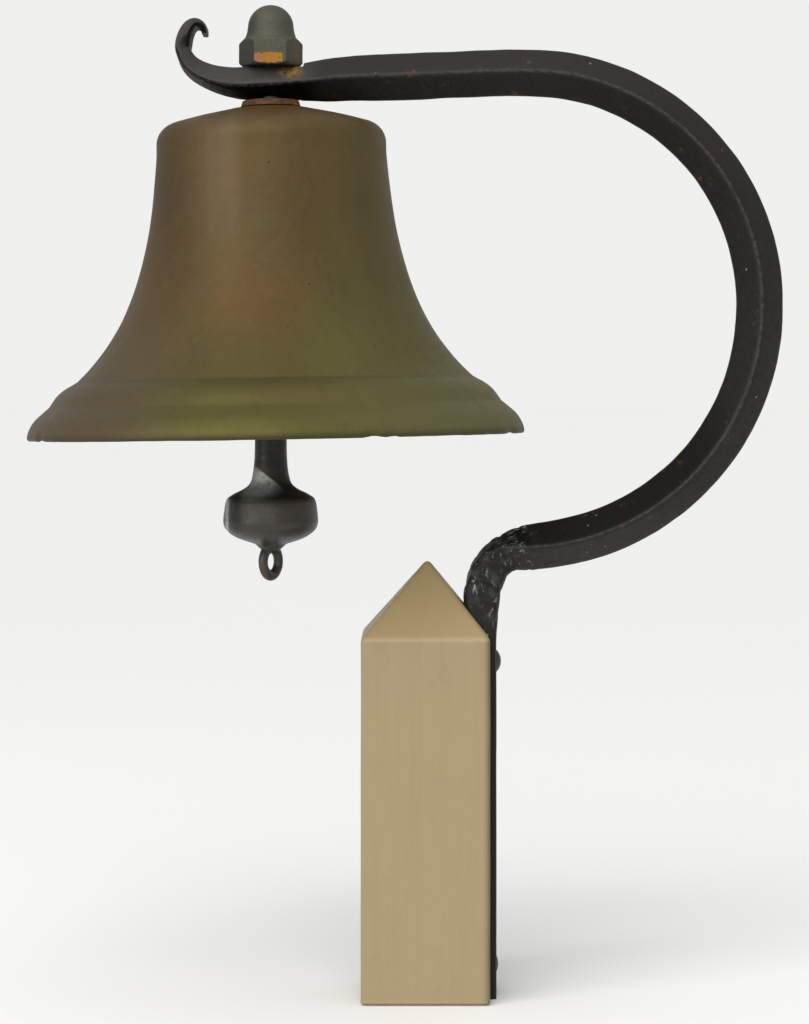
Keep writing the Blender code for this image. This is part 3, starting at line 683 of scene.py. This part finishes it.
def lumps(point, size, seed=0.0):
    """Smooth noise from -1 to 1 whose lumps are about size metres across."""
    return noise.noise(point / size + Vector((seed, 2.7 * seed, -1.3 * seed)))


def cylinder(name, radius, length, segments=64, along="Z"):
    bm = bmesh.new()
    bmesh.ops.create_cone(
        bm, cap_ends=True, segments=segments, radius1=radius, radius2=radius, depth=length
    )
    if along == "X":
        bmesh.ops.rotate(bm, matrix=Matrix.Rotation(math.pi / 2, 3, "Y"), verts=bm.verts)
    return add_object(name, bm)


def block(name, size):
    bm = bmesh.new()
    bmesh.ops.create_cube(bm, size=1.0)
    bmesh.ops.scale(bm, vec=size, verts=bm.verts)
    return add_object(name, bm)


def turned(name, profile, steps, *materials, closed=False):
    """The (radius, height) profile turned about Z."""
    points = [(radius, 0.0, height) for radius, height in profile]
    edges = [(k, k + 1) for k in range(len(points) - 1)]
    if closed:
        edges.append((len(points) - 1, 0))
    mesh = bpy.data.meshes.new(name)
    mesh.from_pydata(points, edges, [])
    made = add_new(name, mesh)
    screw = made.modifiers.new("turn", "SCREW")
    screw.steps = steps
    screw.render_steps = steps
    screw.use_merge_vertices = True
    screw.merge_threshold = 0.01 * MM
    apply_modifiers(made)
    bm = bmesh.new()
    bm.from_mesh(made.data)
    bpy.data.objects.remove(made)
    return add_object(name, bm, *materials)


def ring(name, major, minor, stretch):
    """A torus round X, stretched along Z."""
    bpy.ops.mesh.primitive_torus_add(
        major_segments=64, minor_segments=28, major_radius=major, minor_radius=minor
    )
    made = bpy.context.object
    made.name = name
    made.data.transform(Matrix.Rotation(math.pi / 2, 4, "Y"))
    made.data.transform(Matrix.Diagonal((1.0, 1.0, stretch, 1.0)))
    return made


def arc(centre, radius, start, end, count):
    angles = [math.radians(start + (end - start) * k / (count - 1)) for k in range(count)]
    return [(centre[0] + radius * math.cos(a), centre[1] + radius * math.sin(a)) for a in angles]


def scaled(points):
    return [(a * MM, b * MM) for a, b in points]


def spline(stations, step):
    """Points about every step mm on a Catmull-Rom curve through the stations, ends included."""
    padded = [stations[0], *stations, stations[-1]]
    made = [stations[0]]
    for k in range(1, len(padded) - 2):
        before, start, end, after = padded[k - 1 : k + 3]
        span = math.hypot(end[0] - start[0], end[1] - start[1])
        prior = math.hypot(start[0] - before[0], start[1] - before[1]) or span
        later = math.hypot(after[0] - end[0], after[1] - end[1]) or span
        count = max(1, round(span / step))
        for j in range(1, count + 1):
            t = j / count
            values = []
            for a, b, c, d in zip(before, start, end, after):
                leave = span * (c - a) / (span + prior)
                arrive = span * (d - b) / (span + later)
                values.append(
                    (2 * t**3 - 3 * t**2 + 1) * b
                    + (t**3 - 2 * t**2 + t) * leave
                    + (3 * t**2 - 2 * t**3) * c
                    + (t**3 - t**2) * arrive
                )
            made.append(tuple(values))
    return made


def put(thing, x=0.0, y=0.0, z=0.0, turn=0.0, lean=0.0):
    """Moves the mesh itself, so that its object stays at the origin."""
    turned_by = Matrix.Rotation(turn, 4, "Z") @ Matrix.Rotation(lean, 4, "Y")
    thing.data.transform(Matrix.Translation((x, y, z)) @ turned_by)
    return thing


def at_bolt(thing, height=0.0, turn=0.0):
    return put(thing, x=STUD_X, z=MOUTH_Z + height, turn=turn)


def settle(piece, node, degrees=40, body="frame"):
    """Shades a finished piece, which rides on its body and stands for its node."""
    smooth(piece, degrees)
    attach(piece, body)
    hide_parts(node)


# ---------------------------------------------------------------- bell

# Chips in the lip: degrees round the bell, half width in degrees, depth in mm
CHIPS = (
    (-66, 2.2, 0.9),
    (-61, 1.4, 0.6),
    (-20, 3.0, 0.7),
    (-8, 1.6, 0.9),
    (40, 2.5, 0.8),
    (118, 2.0, 0.7),
    (205, 2.4, 0.9),
)
CAST_SKIN = 0.35 * MM
LIP_INNER_R = 146 * MM
LIP_TOP = 5 * MM


def waist_radius(height):
    """The flare's radius in mm at a height in mm, narrowing upwards as an exponential."""
    return 67.0 + 54.6 * math.exp((34.6 - height) / 51.0)


def wall(height):
    """The wall's thickness in mm at a height in mm: heavy at the lip and thin above."""
    return 5.5 + 7.0 * math.exp(-height / 38.0)


def bell_profile():
    """The bell's section in mm: crown to lip outside, then up the inside."""
    crown = [(CLEAR_R / MM, 201.3), (19.0, 201.3), (30.0, 199.2), (47.0, 195.4)]
    shoulder = arc((57.0, 178.6), 13.6, 74, 4, 6)
    waist = [(waist_radius(h), h) for h in (172, 155, 138, 121, 104, 88, 73, 60, 49, 41, 35.2)]
    bead = [(124.0, 33.4), (128.4, 30.9), (132.9, 27.2), (135.7, 23.6), (138.2, 19.9)]
    lip = [(138.2, 19.9), (142.6, 16.2), (147.0, 12.2), (149.8, 8.2), (151.6, 4.2), (152.2, 1.2)]
    edge = [(152.2, 1.2), (151.4, -0.5), (149.4, -0.8), (147.6, 0.1)]
    bow = [(147.6, 0.1), (139.5, 7.6), (125.5, 20.0), (113.0, 33.0)]
    inner = [(waist_radius(h) - wall(h), h) for h in (44, 58, 74, 92, 112, 134, 158, 180)]
    roof = [(61.5, 184.4), (56.0, 187.4), (44.0, 190.4), (19.0, 192.8), (CLEAR_R / MM, 192.8)]
    runs = (([*crown, *shoulder, *waist], 2.2), ([waist[-1], *bead], 1.3), (lip, 1.3), (edge, 0.6))
    made = [crown[0]]
    for run, step in (*runs, ([*bow, *inner, *roof], 4.0)):
        made += spline(run, step)[1:]
    return made


def cast_depth(spot):
    """The casting's uneven skin, always below the true surface, with chips in its lip."""
    depth = -CAST_SKIN + 0.22 * MM * lumps(spot, 0.038) + 0.10 * MM * lumps(spot, 0.011, 3.0)
    radius = math.hypot(spot.x, spot.y)
    if spot.z < LIP_TOP and radius > LIP_INNER_R:
        around = math.degrees(math.atan2(spot.y, spot.x))
        depth -= 0.25 * MM * max(0.0, lumps(spot, 0.014, 7.0))
        for middle, half, size in CHIPS:
            apart = abs((around - middle + 180) % 360 - 180)
            depth -= size * MM * max(0.0, 1 - (apart / half) ** 2)
    return min(depth, 0.0)


def build_bell():
    materials = (bell_outside(), bell_inside())
    bell = turned("bell_casting", scaled(bell_profile()), 320, *materials, closed=True)
    push(bell, cast_depth)
    for face in bell.data.polygons:
        outward = Vector((face.center.x, face.center.y, 0.0)).normalized().dot(face.normal)
        under_roof = face.normal.z < -0.2 and face.center.z > 150 * MM
        face.material_index = 1 if under_roof or outward < -0.12 else 0
    bell.data.transform(HANG)
    settle(bell, "bell")


def build_collar():
    low = CROWN_TOP + GAP
    high = COLLAR_SEAT - GAP
    profile = [(CLEAR_R, high), (16.6 * MM, high), (17.3 * MM, high - 0.5 * MM)]
    profile += [(17.8 * MM, low + 1.7 * MM), (COLLAR_R - 0.3 * MM, low + 0.7 * MM), (COLLAR_R, low)]
    profile.append((CLEAR_R, low))
    collar = turned("collar_rusted_washer", profile, 96, collar_rust(), closed=True)
    ease(collar, 0.25 * MM)
    collar.data.transform(HANG)
    settle(collar, "collar")


# ---------------------------------------------------------------- bracket

BAR_HALF = 14.7
CROOK_X = 60.0
CROOK_Z = 77.5
CROOK_R = 144.9
CROOK_SWELL = 1.6
CROOK_SAG = 0.6
STRAP_HALF_WIDTH = 19.0

# Stations in mm: x, height, half thickness, half width, twist in degrees, squareness of corners
SCROLL_STATIONS = (
    (-134.7, 245.6, 1.6, 11.5, 0, 5),
    (-135.1, 248.8, 2.1, 12.0, 0, 5),
    (-137.0, 251.2, 2.5, 12.6, 0, 5),
    (-140.2, 252.2, 3.0, 13.2, 0, 5),
    (-143.6, 250.4, 3.6, 13.8, 0, 5),
    (-146.1, 246.2, 4.2, 14.2, 0, 5),
    (-147.7, 240.4, 4.8, 14.4, 2, 6),
    (-147.9, 235.5, 4.8, 14.6, 4, 6),
    (-143.3, 226.9, 6.0, 15.0, 9, 6),
    (-134.1, 220.9, 7.2, 15.6, 15, 6),
    (-120.7, 217.0, 8.8, 17.0, 22, 5),
    (-107.0, 215.8, 10.3, 18.8, 28, 4),
    (-94.5, 216.0, 11.0, 19.4, 33, 4),
    (-84.0, 216.4, 11.4, 18.2, 37, 5),
    (-74.1, 216.8, 11.9, 16.4, 41, 6),
    (-59.4, 217.9, 13.4, 15.0, 45, 8),
    (-44.7, 219.0, 14.1, BAR_HALF, 45, 8),
    (-22.7, 219.7, BAR_HALF, BAR_HALF, 45, 8),
    (6.7, 220.8, BAR_HALF, BAR_HALF, 45, 8),
    (34.0, 221.9, BAR_HALF, BAR_HALF, 45, 8),
)
NECK_STATIONS = (
    (61.5, -68.6, 14.2, 14.4, 40, 8),
    (53.0, -70.7, 12.7, 14.2, 28, 7),
    (47.2, -73.2, 11.8, 14.0, 16, 6),
    (43.1, -76.7, 11.5, 14.0, 8, 6),
    (40.0, -80.9, 11.7, 14.2, 3, 6),
    (37.5, -86.2, 11.8, 14.6, 0, 6),
    (35.9, -92.0, 11.5, 15.2, 0, 6),
    (34.6, -98.0, 11.5, 16.0, 0, 7),
    (34.3, -105.5, 10.9, 17.0, 0, 8),
    (35.3, -116.5, 9.0, 18.2, 0, 9),
    (38.6, -130.0, 4.8, STRAP_HALF_WIDTH, 0, 10),
    (39.4, -145.0, 4.0, STRAP_HALF_WIDTH, 0, 10),
    (39.4, -200.0, 4.0, STRAP_HALF_WIDTH, 0, 10),
    (39.4, -270.0, 4.0, STRAP_HALF_WIDTH, 0, 10),
    (39.4, -341.0, 4.0, STRAP_HALF_WIDTH, 0, 10),
)
CORNERS = (45, 135, 225, 315)
FROM_CORNER = (-38, -29, -21, -14, -9, -5, -2, 0, 2, 5, 9, 14, 21, 29, 38)
SECTION_ANGLES = [corner + off for corner in CORNERS for off in FROM_CORNER]
FOLD_LOW = -118.0
FOLD_HIGH = -40.0
FOLD_RIGHT = 70.0
FOLD_FADE = 12.0
RIDGE_REACH = 1.6 * MM


def crook_stations():
    """The crook's centre line: close to a circle, fuller at the top than at the bottom."""
    made = []
    for degrees in range(0, 171, 10):
        angle = math.radians(degrees)
        bulge = CROOK_SWELL if degrees < 90 else CROOK_SAG
        radius = CROOK_R + bulge * math.sin(2 * angle)
        x = CROOK_X + radius * math.sin(angle)
        z = CROOK_Z + radius * math.cos(angle)
        made.append((x, z, BAR_HALF, BAR_HALF, 45, 8))
    return made


def section(half_t, half_w, twist, squareness):
    """Offsets (across, outward) of a squared section, turned by twist and stretched to its size."""
    turn = -math.radians(twist)
    points = []
    for degrees in SECTION_ANGLES:
        c = math.cos(math.radians(degrees))
        s = math.sin(math.radians(degrees))
        a = math.copysign(abs(c) ** (2 / squareness), c)
        b = math.copysign(abs(s) ** (2 / squareness), s)
        across = a * math.cos(turn) - b * math.sin(turn)
        out = a * math.sin(turn) + b * math.cos(turn)
        points.append((across, out))
    widest = max(abs(a) for a, _ in points)
    tallest = max(abs(b) for _, b in points)
    return [(a / widest * half_w, b / tallest * half_t) for a, b in points]


def in_folds(x, z):
    """How much of the neck's folding reaches a place in the bracket's plane, in mm."""
    if z >= FOLD_HIGH:
        return 0.0
    rise = min(1.0, max(0.0, (z - FOLD_LOW) / FOLD_FADE))
    fall = min(1.0, max(0.0, (FOLD_RIGHT - x) / FOLD_FADE))
    return rise * fall


def hammered(spot):
    """How far the hammer left the surface below its true shape, in metres."""
    nearest = noise.voronoi(spot / 0.013)[0]
    dimple = 0.30 * MM * (1 - min(1.0, nearest[0]))
    broad = 0.11 * MM * (1 + lumps(spot, 0.020, 5.0))
    return -dimple - broad - 0.05 * MM * (1 + lumps(spot, 0.004))


def folded(spot):
    """The neck's forging folds: crossing creases and raised lumps."""
    bend = spot + Vector((1.0, 0.4, 0.7)) * (0.003 * lumps(spot, 0.010, 2.0))
    wave = math.sin((bend.x * 0.8 + bend.z * 0.6 + bend.y * 0.35) * math.tau / 0.0085)
    crease = -0.8 * MM * max(0.0, wave) ** 3
    return crease + 0.5 * MM * lumps(spot, 0.007, 9.0) - 0.25 * MM


def bracket_loft(material):
    """The forging, and the points of its four ridges."""
    line = spline([*SCROLL_STATIONS, *crook_stations(), *NECK_STATIONS], 1.7)
    bm = bmesh.new()
    loops = []
    ridges = []
    for k, (x, z, half_t, half_w, twist, squareness) in enumerate(line):
        behind = line[max(k - 1, 0)]
        ahead = line[min(k + 1, len(line) - 1)]
        along = Vector((ahead[0] - behind[0], 0.0, ahead[1] - behind[1])).normalized()
        outward = Vector((-along.z, 0.0, along.x))
        wander = 1 + 0.03 * noise.noise(Vector((x / 30, z / 30, 4.0)))
        centre = Vector((x * MM, 0.0, MOUTH_Z + z * MM))
        fold_share = in_folds(x, z)
        thin = min(1.0, half_t / 8.0)
        loop = []
        for degrees, (across, out) in zip(SECTION_ANGLES, section(half_t, half_w, twist, squareness)):
            offset = (Vector((0.0, across, 0.0)) + outward * out) * MM
            spot = centre + offset * min(wander, 1.0)
            depth = thin * hammered(spot) + fold_share * folded(spot)
            spot += offset.normalized() * depth
            spot.z = max(spot.z, 0.0)
            loop.append(bm.verts.new(spot))
            if degrees in CORNERS:
                ridges.append(spot)
        loops.append(loop)
    count = len(SECTION_ANGLES)
    for first, second in zip(loops, loops[1:]):
        for k in range(count):
            bm.faces.new((first[k], first[(k + 1) % count], second[(k + 1) % count], second[k]))
    bm.faces.new(loops[0])
    bm.faces.new(loops[-1])
    return add_object("bracket_forging", bm, material), ridges


def mark_bracket(bracket, ridges):
    """Stores how near each point is to a ridge, and how much folding it has."""
    tree = kdtree.KDTree(len(ridges))
    for k, spot in enumerate(ridges):
        tree.insert(spot, k)
    tree.balance()
    near = bracket.data.attributes.new("ridge", "FLOAT", "POINT")
    folds = bracket.data.attributes.new("folds", "FLOAT", "POINT")
    for k, vert in enumerate(bracket.data.vertices):
        away = tree.find(vert.co)[2]
        near.data[k].value = max(0.0, 1 - away / RIDGE_REACH)
        folds.data[k].value = in_folds(vert.co.x / MM, (vert.co.z - MOUTH_Z) / MM)


def post_shape(name, grow, *materials):
    """The post, or with grow the space that the forging keeps clear of it."""
    width = POST_WIDTH + 2 * grow
    slope = math.atan2(POST_APEX_Z - POST_EAVE_Z, POST_WIDTH / 2)
    rise = grow / math.cos(slope)
    eave = POST_EAVE_Z + rise - grow * math.tan(slope)
    bm = bmesh.new()
    bmesh.ops.create_cube(bm, size=1.0)
    for vert in bm.verts:
        vert.co.x *= width
        vert.co.y *= width
        vert.co.z = eave if vert.co.z > 0 else -10 * grow
    top = max(bm.faces, key=lambda face: face.calc_center_median().z)
    apex = bmesh.ops.poke(bm, faces=[top])["verts"][0]
    apex.co = Vector((POST_APEX_X, 0.0, POST_APEX_Z + rise))
    return add_object(name, bm, *materials)


def build_bracket():
    bracket, ridges = bracket_loft(forged_iron())
    post_space = post_shape("post_space", 0.05 * MM)
    ease(post_space, POST_EDGE, 4)
    boolean(bracket, post_space)
    nut_seat = cylinder("nut_seat", NUT_R + 1.0 * MM, CUT_DEPTH, 96)
    boolean(bracket, at_bolt(nut_seat, NUT_SEAT + CUT_DEPTH / 2))
    collar_seat = put(cylinder("collar_seat", COLLAR_R + 1.0 * MM, CUT_DEPTH, 96), lean=-BELL_LEAN)
    boolean(bracket, at_bolt(collar_seat, COLLAR_SEAT - CUT_DEPTH / 2))
    boolean(bracket, at_bolt(cylinder("stud_hole", CLEAR_R, 80 * MM), COLLAR_SEAT))
    mark_bracket(bracket, ridges)
    settle(bracket, "bracket", 38)


# ---------------------------------------------------------------- post

SAWN_FOOT = 2 * MM


def build_post():
    post = post_shape("post_timber", 0.0, post_paint(), end_grain())
    ease(post, POST_EDGE, 4)
    remesh(post, 1.5 * MM, 1)
    half = POST_WIDTH / 2
    arris = post.data.attributes.new("arris", "FLOAT", "POINT")
    normals = [vert.normal.copy() for vert in post.data.vertices]
    for k, vert in enumerate(post.data.vertices):
        inset = max(half - abs(vert.co.x), half - abs(vert.co.y))
        near_corner = max(0.0, 1 - inset / (3.5 * MM))
        arris.data[k].value = near_corner * (0.75 + 0.25 * lumps(vert.co, 0.02))
        if vert.co.z > SAWN_FOOT:
            grain = Vector((vert.co.x, vert.co.y, vert.co.z / 14))
            relief = 0.10 * MM * (lumps(grain, 0.006) - 1) + 0.16 * MM * (lumps(vert.co, 0.06) - 1)
            vert.co += normals[k] * relief
        else:
            vert.co.z = max(vert.co.z, 0.0)
    for face in post.data.polygons:
        face.material_index = 1 if face.normal.z < -0.8 else 0
    settle(post, "post", 50)


# ---------------------------------------------------------------- nuts, bolt and pin


def hexagon(name, radius, low, high):
    """A hexagonal bar with a flat to the front."""
    return put(cylinder(name, radius, high - low, 6), z=(low + high) / 2, turn=math.radians(30))


def dress(thing, material):
    thing.data.materials.clear()
    thing.data.materials.append(material)


def build_acorn_nut():
    low = NUT_SEAT + GAP
    nut = hexagon("acorn_nut_domed", NUT_R, low, NUT_HEX_TOP)
    put(nut, turn=NUT_TURN)
    corner = NUT_R + 0.2 * MM
    envelope = [(0.0, NUT_HEX_TOP), (NUT_DOME_R, NUT_HEX_TOP), (corner, NUT_HEX_TOP - 4.2 * MM)]
    envelope += [(corner, low + 2.2 * MM), (NUT_R - 2.4 * MM, low), (0.0, low)]
    boolean(nut, turned("nut_envelope", envelope, 128), "INTERSECT")
    dome_start = NUT_HEX_TOP - 2 * MM
    dome = arc((0.0, NUT_TOP - NUT_CAP_R), NUT_CAP_R, 90, 2, 16)
    dome[0] = (0.0, NUT_TOP)
    dome += [(NUT_CAP_R + 0.5 * MM, NUT_HEX_TOP + 3.2 * MM), (NUT_DOME_R, NUT_HEX_TOP)]
    dome += [(NUT_DOME_R, dome_start), (0.0, dome_start)]
    boolean(nut, turned("nut_dome", dome, 128), "UNION")
    remesh(nut, 0.42 * MM, 2)
    push(nut, lambda spot: MM * (0.07 * lumps(spot, 0.005) + 0.06 * lumps(spot, 0.0016) - 0.08))
    dress(nut, nut_bronze())
    at_bolt(nut)
    settle(nut, "acorn_nut", 60)


def flat_ring(name, bore, radius, low, high, steps, material):
    profile = [(bore, high), (radius, high), (radius, low), (bore, low)]
    return turned(name, profile, steps, material, closed=True)


def build_crown_washer(steel):
    high = CROWN_INSIDE - 0.4 * MM
    low = high - CROWN_WASHER_T
    washer = flat_ring("crown_washer_plain", CROWN_WASHER_BORE, CROWN_WASHER_R, low, high, 96, steel)
    ease(washer, 0.4 * MM)
    settle(at_bolt(washer), "crown_washer")


def build_crown_nut(steel):
    low = CROWN_NUT_LOW
    high = CROWN_NUT_HIGH
    flat = CROWN_NUT_R * math.cos(math.radians(30))
    corner = CROWN_NUT_R + 0.2 * MM
    chamfer = 1 * MM
    nut = hexagon("crown_nut_hex", CROWN_NUT_R, low, high)
    envelope = [(0.0, high), (flat, high), (corner, high - chamfer)]
    envelope += [(corner, low + chamfer), (flat, low), (0.0, low)]
    boolean(nut, turned("crown_nut_envelope", envelope, 96), "INTERSECT")
    boolean(nut, put(cylinder("crown_nut_bore", BOLT_R + GAP, 40 * MM), z=low))
    dress(nut, steel)
    ease(nut, 0.25 * MM, 2)
    settle(at_bolt(nut), "crown_nut")


def build_fork_bolt():
    """The stud, its boss and the two jaws that carry the pin."""
    boss_top = CROWN_NUT_LOW - GAP
    tip = 1 * MM
    rounding = 1.2 * MM
    profile = [(0.0, BOLT_TOP), (BOLT_R - tip, BOLT_TOP), (BOLT_R, BOLT_TOP - tip), (BOLT_R, boss_top)]
    profile += [(FORK_R - rounding, boss_top), (FORK_R, boss_top - rounding), (FORK_R, BOSS_LOW)]
    bolt = turned("fork_bolt_cast", [*profile, (0.0, BOSS_LOW)], 96)
    outer = 2 * PIN_HALF
    cheek = put(cylinder("cheek", FORK_WIDTH / 2, outer, along="X"), z=PIVOT)
    web_height = BOSS_LOW - PIVOT + 2 * MM
    web = put(block("web", (outer, FORK_WIDTH, web_height)), z=PIVOT + web_height / 2)
    boolean(bolt, cheek, "UNION")
    boolean(bolt, web, "UNION")
    below = 20 * MM
    slot = block("slot", (TONGUE_T + 2 * SIDE_PLAY, 50 * MM, BOSS_LOW - PIVOT + below))
    boolean(bolt, put(slot, z=(BOSS_LOW + PIVOT - below) / 2))
    remesh(bolt, 0.55 * MM, 2)
    push(bolt, lambda spot: 0.10 * MM * (lumps(spot, 0.007) - 1))
    boolean(bolt, put(cylinder("pin_hole", PIN_R + PIN_SLACK, 60 * MM, along="X"), z=PIVOT))
    dress(bolt, dark_bronze("fork_bronze_dark"))
    settle(at_bolt(bolt, turn=PIN_TURN), "fork_bolt")


def on_pin(thing):
    """Takes a piece made along the pin's own X to the pivot."""
    return at_bolt(thing, PIVOT, PIN_TURN)


def laid(thing):
    """Lays a piece turned about Z down along X."""
    thing.data.transform(Matrix.Rotation(math.pi / 2, 4, "Y"))
    return thing


def build_pin(steel):
    start = -PIN_HALF - GAP
    end = PIN_HALF + PIN_TAIL
    head = start - PIN_HEAD_T
    profile = [(0.0, end), (PIN_R, end), (PIN_R, start), (PIN_HEAD_R, start)]
    profile += [(PIN_HEAD_R, head + 1.0 * MM), (PIN_HEAD_R - 0.8 * MM, head + 0.2 * MM), (0.0, head)]
    pin = laid(turned("pivot_pin_headed", profile, 64, steel))
    boolean(pin, put(cylinder("split_hole", 1.2 * MM, 20 * MM, 24), x=SPLIT_PIN_X))
    ease(pin, 0.3 * MM)
    settle(on_pin(pin), "pivot_pin")


def build_pin_washer(steel):
    low = PIN_HALF + GAP
    high = low + PIN_WASHER_T
    washer = laid(flat_ring("pin_washer_plain", PIN_R + GAP, PIN_WASHER_R, low, high, 64, steel))
    ease(washer, 0.25 * MM)
    settle(on_pin(washer), "pin_washer")


def build_split_pin(steel):
    """Two half wires through the pin's end: an eye on top and legs opened below."""
    leg = [(1.9, -7.4), (1.2, -6.0), (0.55, -4.6), (0.5, 3.5), (0.6, 5.6)]
    eye = arc((0.0, 8.0), 2.0, -60, 240, 9)
    points = [*leg, *eye, *[(-x, z) for x, z in reversed(leg)]]
    data = bpy.data.curves.new("split_pin_wire", "CURVE")
    data.dimensions = "3D"
    data.bevel_depth = 0.5 * MM
    data.bevel_resolution = 4
    data.resolution_u = 8
    data.use_fill_caps = True
    wire = data.splines.new("NURBS")
    wire.points.add(len(points) - 1)
    for point, (across, height) in zip(wire.points, points):
        point.co = (SPLIT_PIN_X, across * MM, height * MM, 1.0)
    wire.use_endpoint_u = True
    wire.order_u = 4
    curve = add_new("split_pin_curve", data)
    pin = add_new("split_pin_wire", final_mesh(curve))
    bpy.data.objects.remove(curve)
    dress(pin, steel)
    settle(on_pin(pin), "split_pin", 60)


# ---------------------------------------------------------------- clapper


def clapper_profile():
    """Radius and height in mm, from the top of the shank down to the stem of the rope eye."""
    shank = [(6.0, 146.5), (8.2, 143.5), (8.9, 138.0), (9.4, 60.0), (10.0, -8.0), (10.9, -21.0)]
    flare = [(12.9, -28.9), (17.0, -32.4), (22.4, -35.0), (26.6, -37.6)]
    side = [(26.6, -37.6), (27.8, -40.2), (28.9, -48.0), (29.3, -52.5)]
    under = [(29.3, -52.5), (28.3, -56.2), (25.6, -59.4), (20.8, -62.4), (14.0, -64.8), (9.4, -66.4)]
    stem = [(7.6, -68.2), (5.0, -70.4)]
    made = [(0.0, 147.0), *spline([*shank, *flare], 2.0)]
    made += spline(side, 1.5)[1:]
    made += spline([*under, *stem], 1.5)[1:]
    return [*made, (0.0, -71.0)]


def build_clapper():
    profile = [(r, h - PIVOT / MM) for r, h in clapper_profile()]
    clapper = turned("clapper_cast", scaled(profile), 128)
    tongue_length = 24 * MM
    tongue = block("tongue", (TONGUE_T, 2 * (TONGUE_R - 1 * MM), tongue_length))
    boolean(clapper, put(tongue, z=-tongue_length / 2), "UNION")
    boolean(clapper, cylinder("knuckle", TONGUE_R, TONGUE_T, along="X"), "UNION")
    eye = ring("rope_eye", EYE_MAJOR, EYE_MINOR, EYE_STRETCH)
    boolean(clapper, put(eye, z=EYE_CENTRE - PIVOT), "UNION")
    remesh(clapper, 0.65 * MM, 2)
    push(clapper, lambda spot: MM * (0.14 * lumps(spot, 0.013) + 0.05 * lumps(spot, 0.003, 4.0) - 0.15))
    boolean(clapper, cylinder("pin_hole", PIN_R + PIN_SLACK, 30 * MM, along="X"))
    dress(clapper, dark_bronze("clapper_bronze_dark", shank_and_painted_light=True))
    settle(on_pin(clapper), "clapper", 50, body="clapper")


# ---------------------------------------------------------------- screws

# Name, height above the floor, head's radius and height in mm, turn of its slot in degrees
SCREWS = (("strap_screw_upper", 203.3, 6.8, 2.8, 35), ("strap_screw_lower", 18.0, 5.2, 1.1, -20))


def build_screws():
    steel = screw_steel()
    for name, height, head_r, head_h, slot_turn in SCREWS:
        bulge = (head_r**2 + head_h**2) / (2 * head_h)
        spread = math.degrees(math.asin(head_r / bulge))
        head = arc((0.0, head_h - bulge), bulge, 90, 90 - spread, 12)
        head[0] = (0.0, head_h)
        profile = scaled([*head, (2.6, 0.0), (2.6, -30.0), (0.0, -38.0)])
        screw = laid(turned(name + "_slotted", profile, 64, steel))
        slot = block("slot", (2.4 * MM, 1.3 * MM, 20 * MM))
        boolean(screw, put(slot, x=head_h * MM))
        ease(screw, 0.15 * MM, 2)
        screw.data.transform(Matrix.Rotation(math.radians(slot_turn), 4, "X"))
        put(screw, x=STRAP_FACE_X + GAP, z=height * MM)
        settle(screw, name)


# ---------------------------------------------------------------- floor


def build_floor():
    """A wide disc, a little below the post so that their faces don't meet."""
    bm = bmesh.new()
    bmesh.ops.create_circle(bm, cap_ends=True, segments=96, radius=FLOOR_R)
    floor = add_object("floor", bm, floor_paint())
    floor.location.z = -FLOOR_DROP


add_stage()
build_floor()
STEEL = plated_steel()
build_post()
build_bracket()
build_bell()
build_collar()
build_acorn_nut()
build_crown_washer(STEEL)
build_crown_nut(STEEL)
build_fork_bolt()
build_pin(STEEL)
build_pin_washer(STEEL)
build_split_pin(STEEL)
build_clapper()
build_screws()
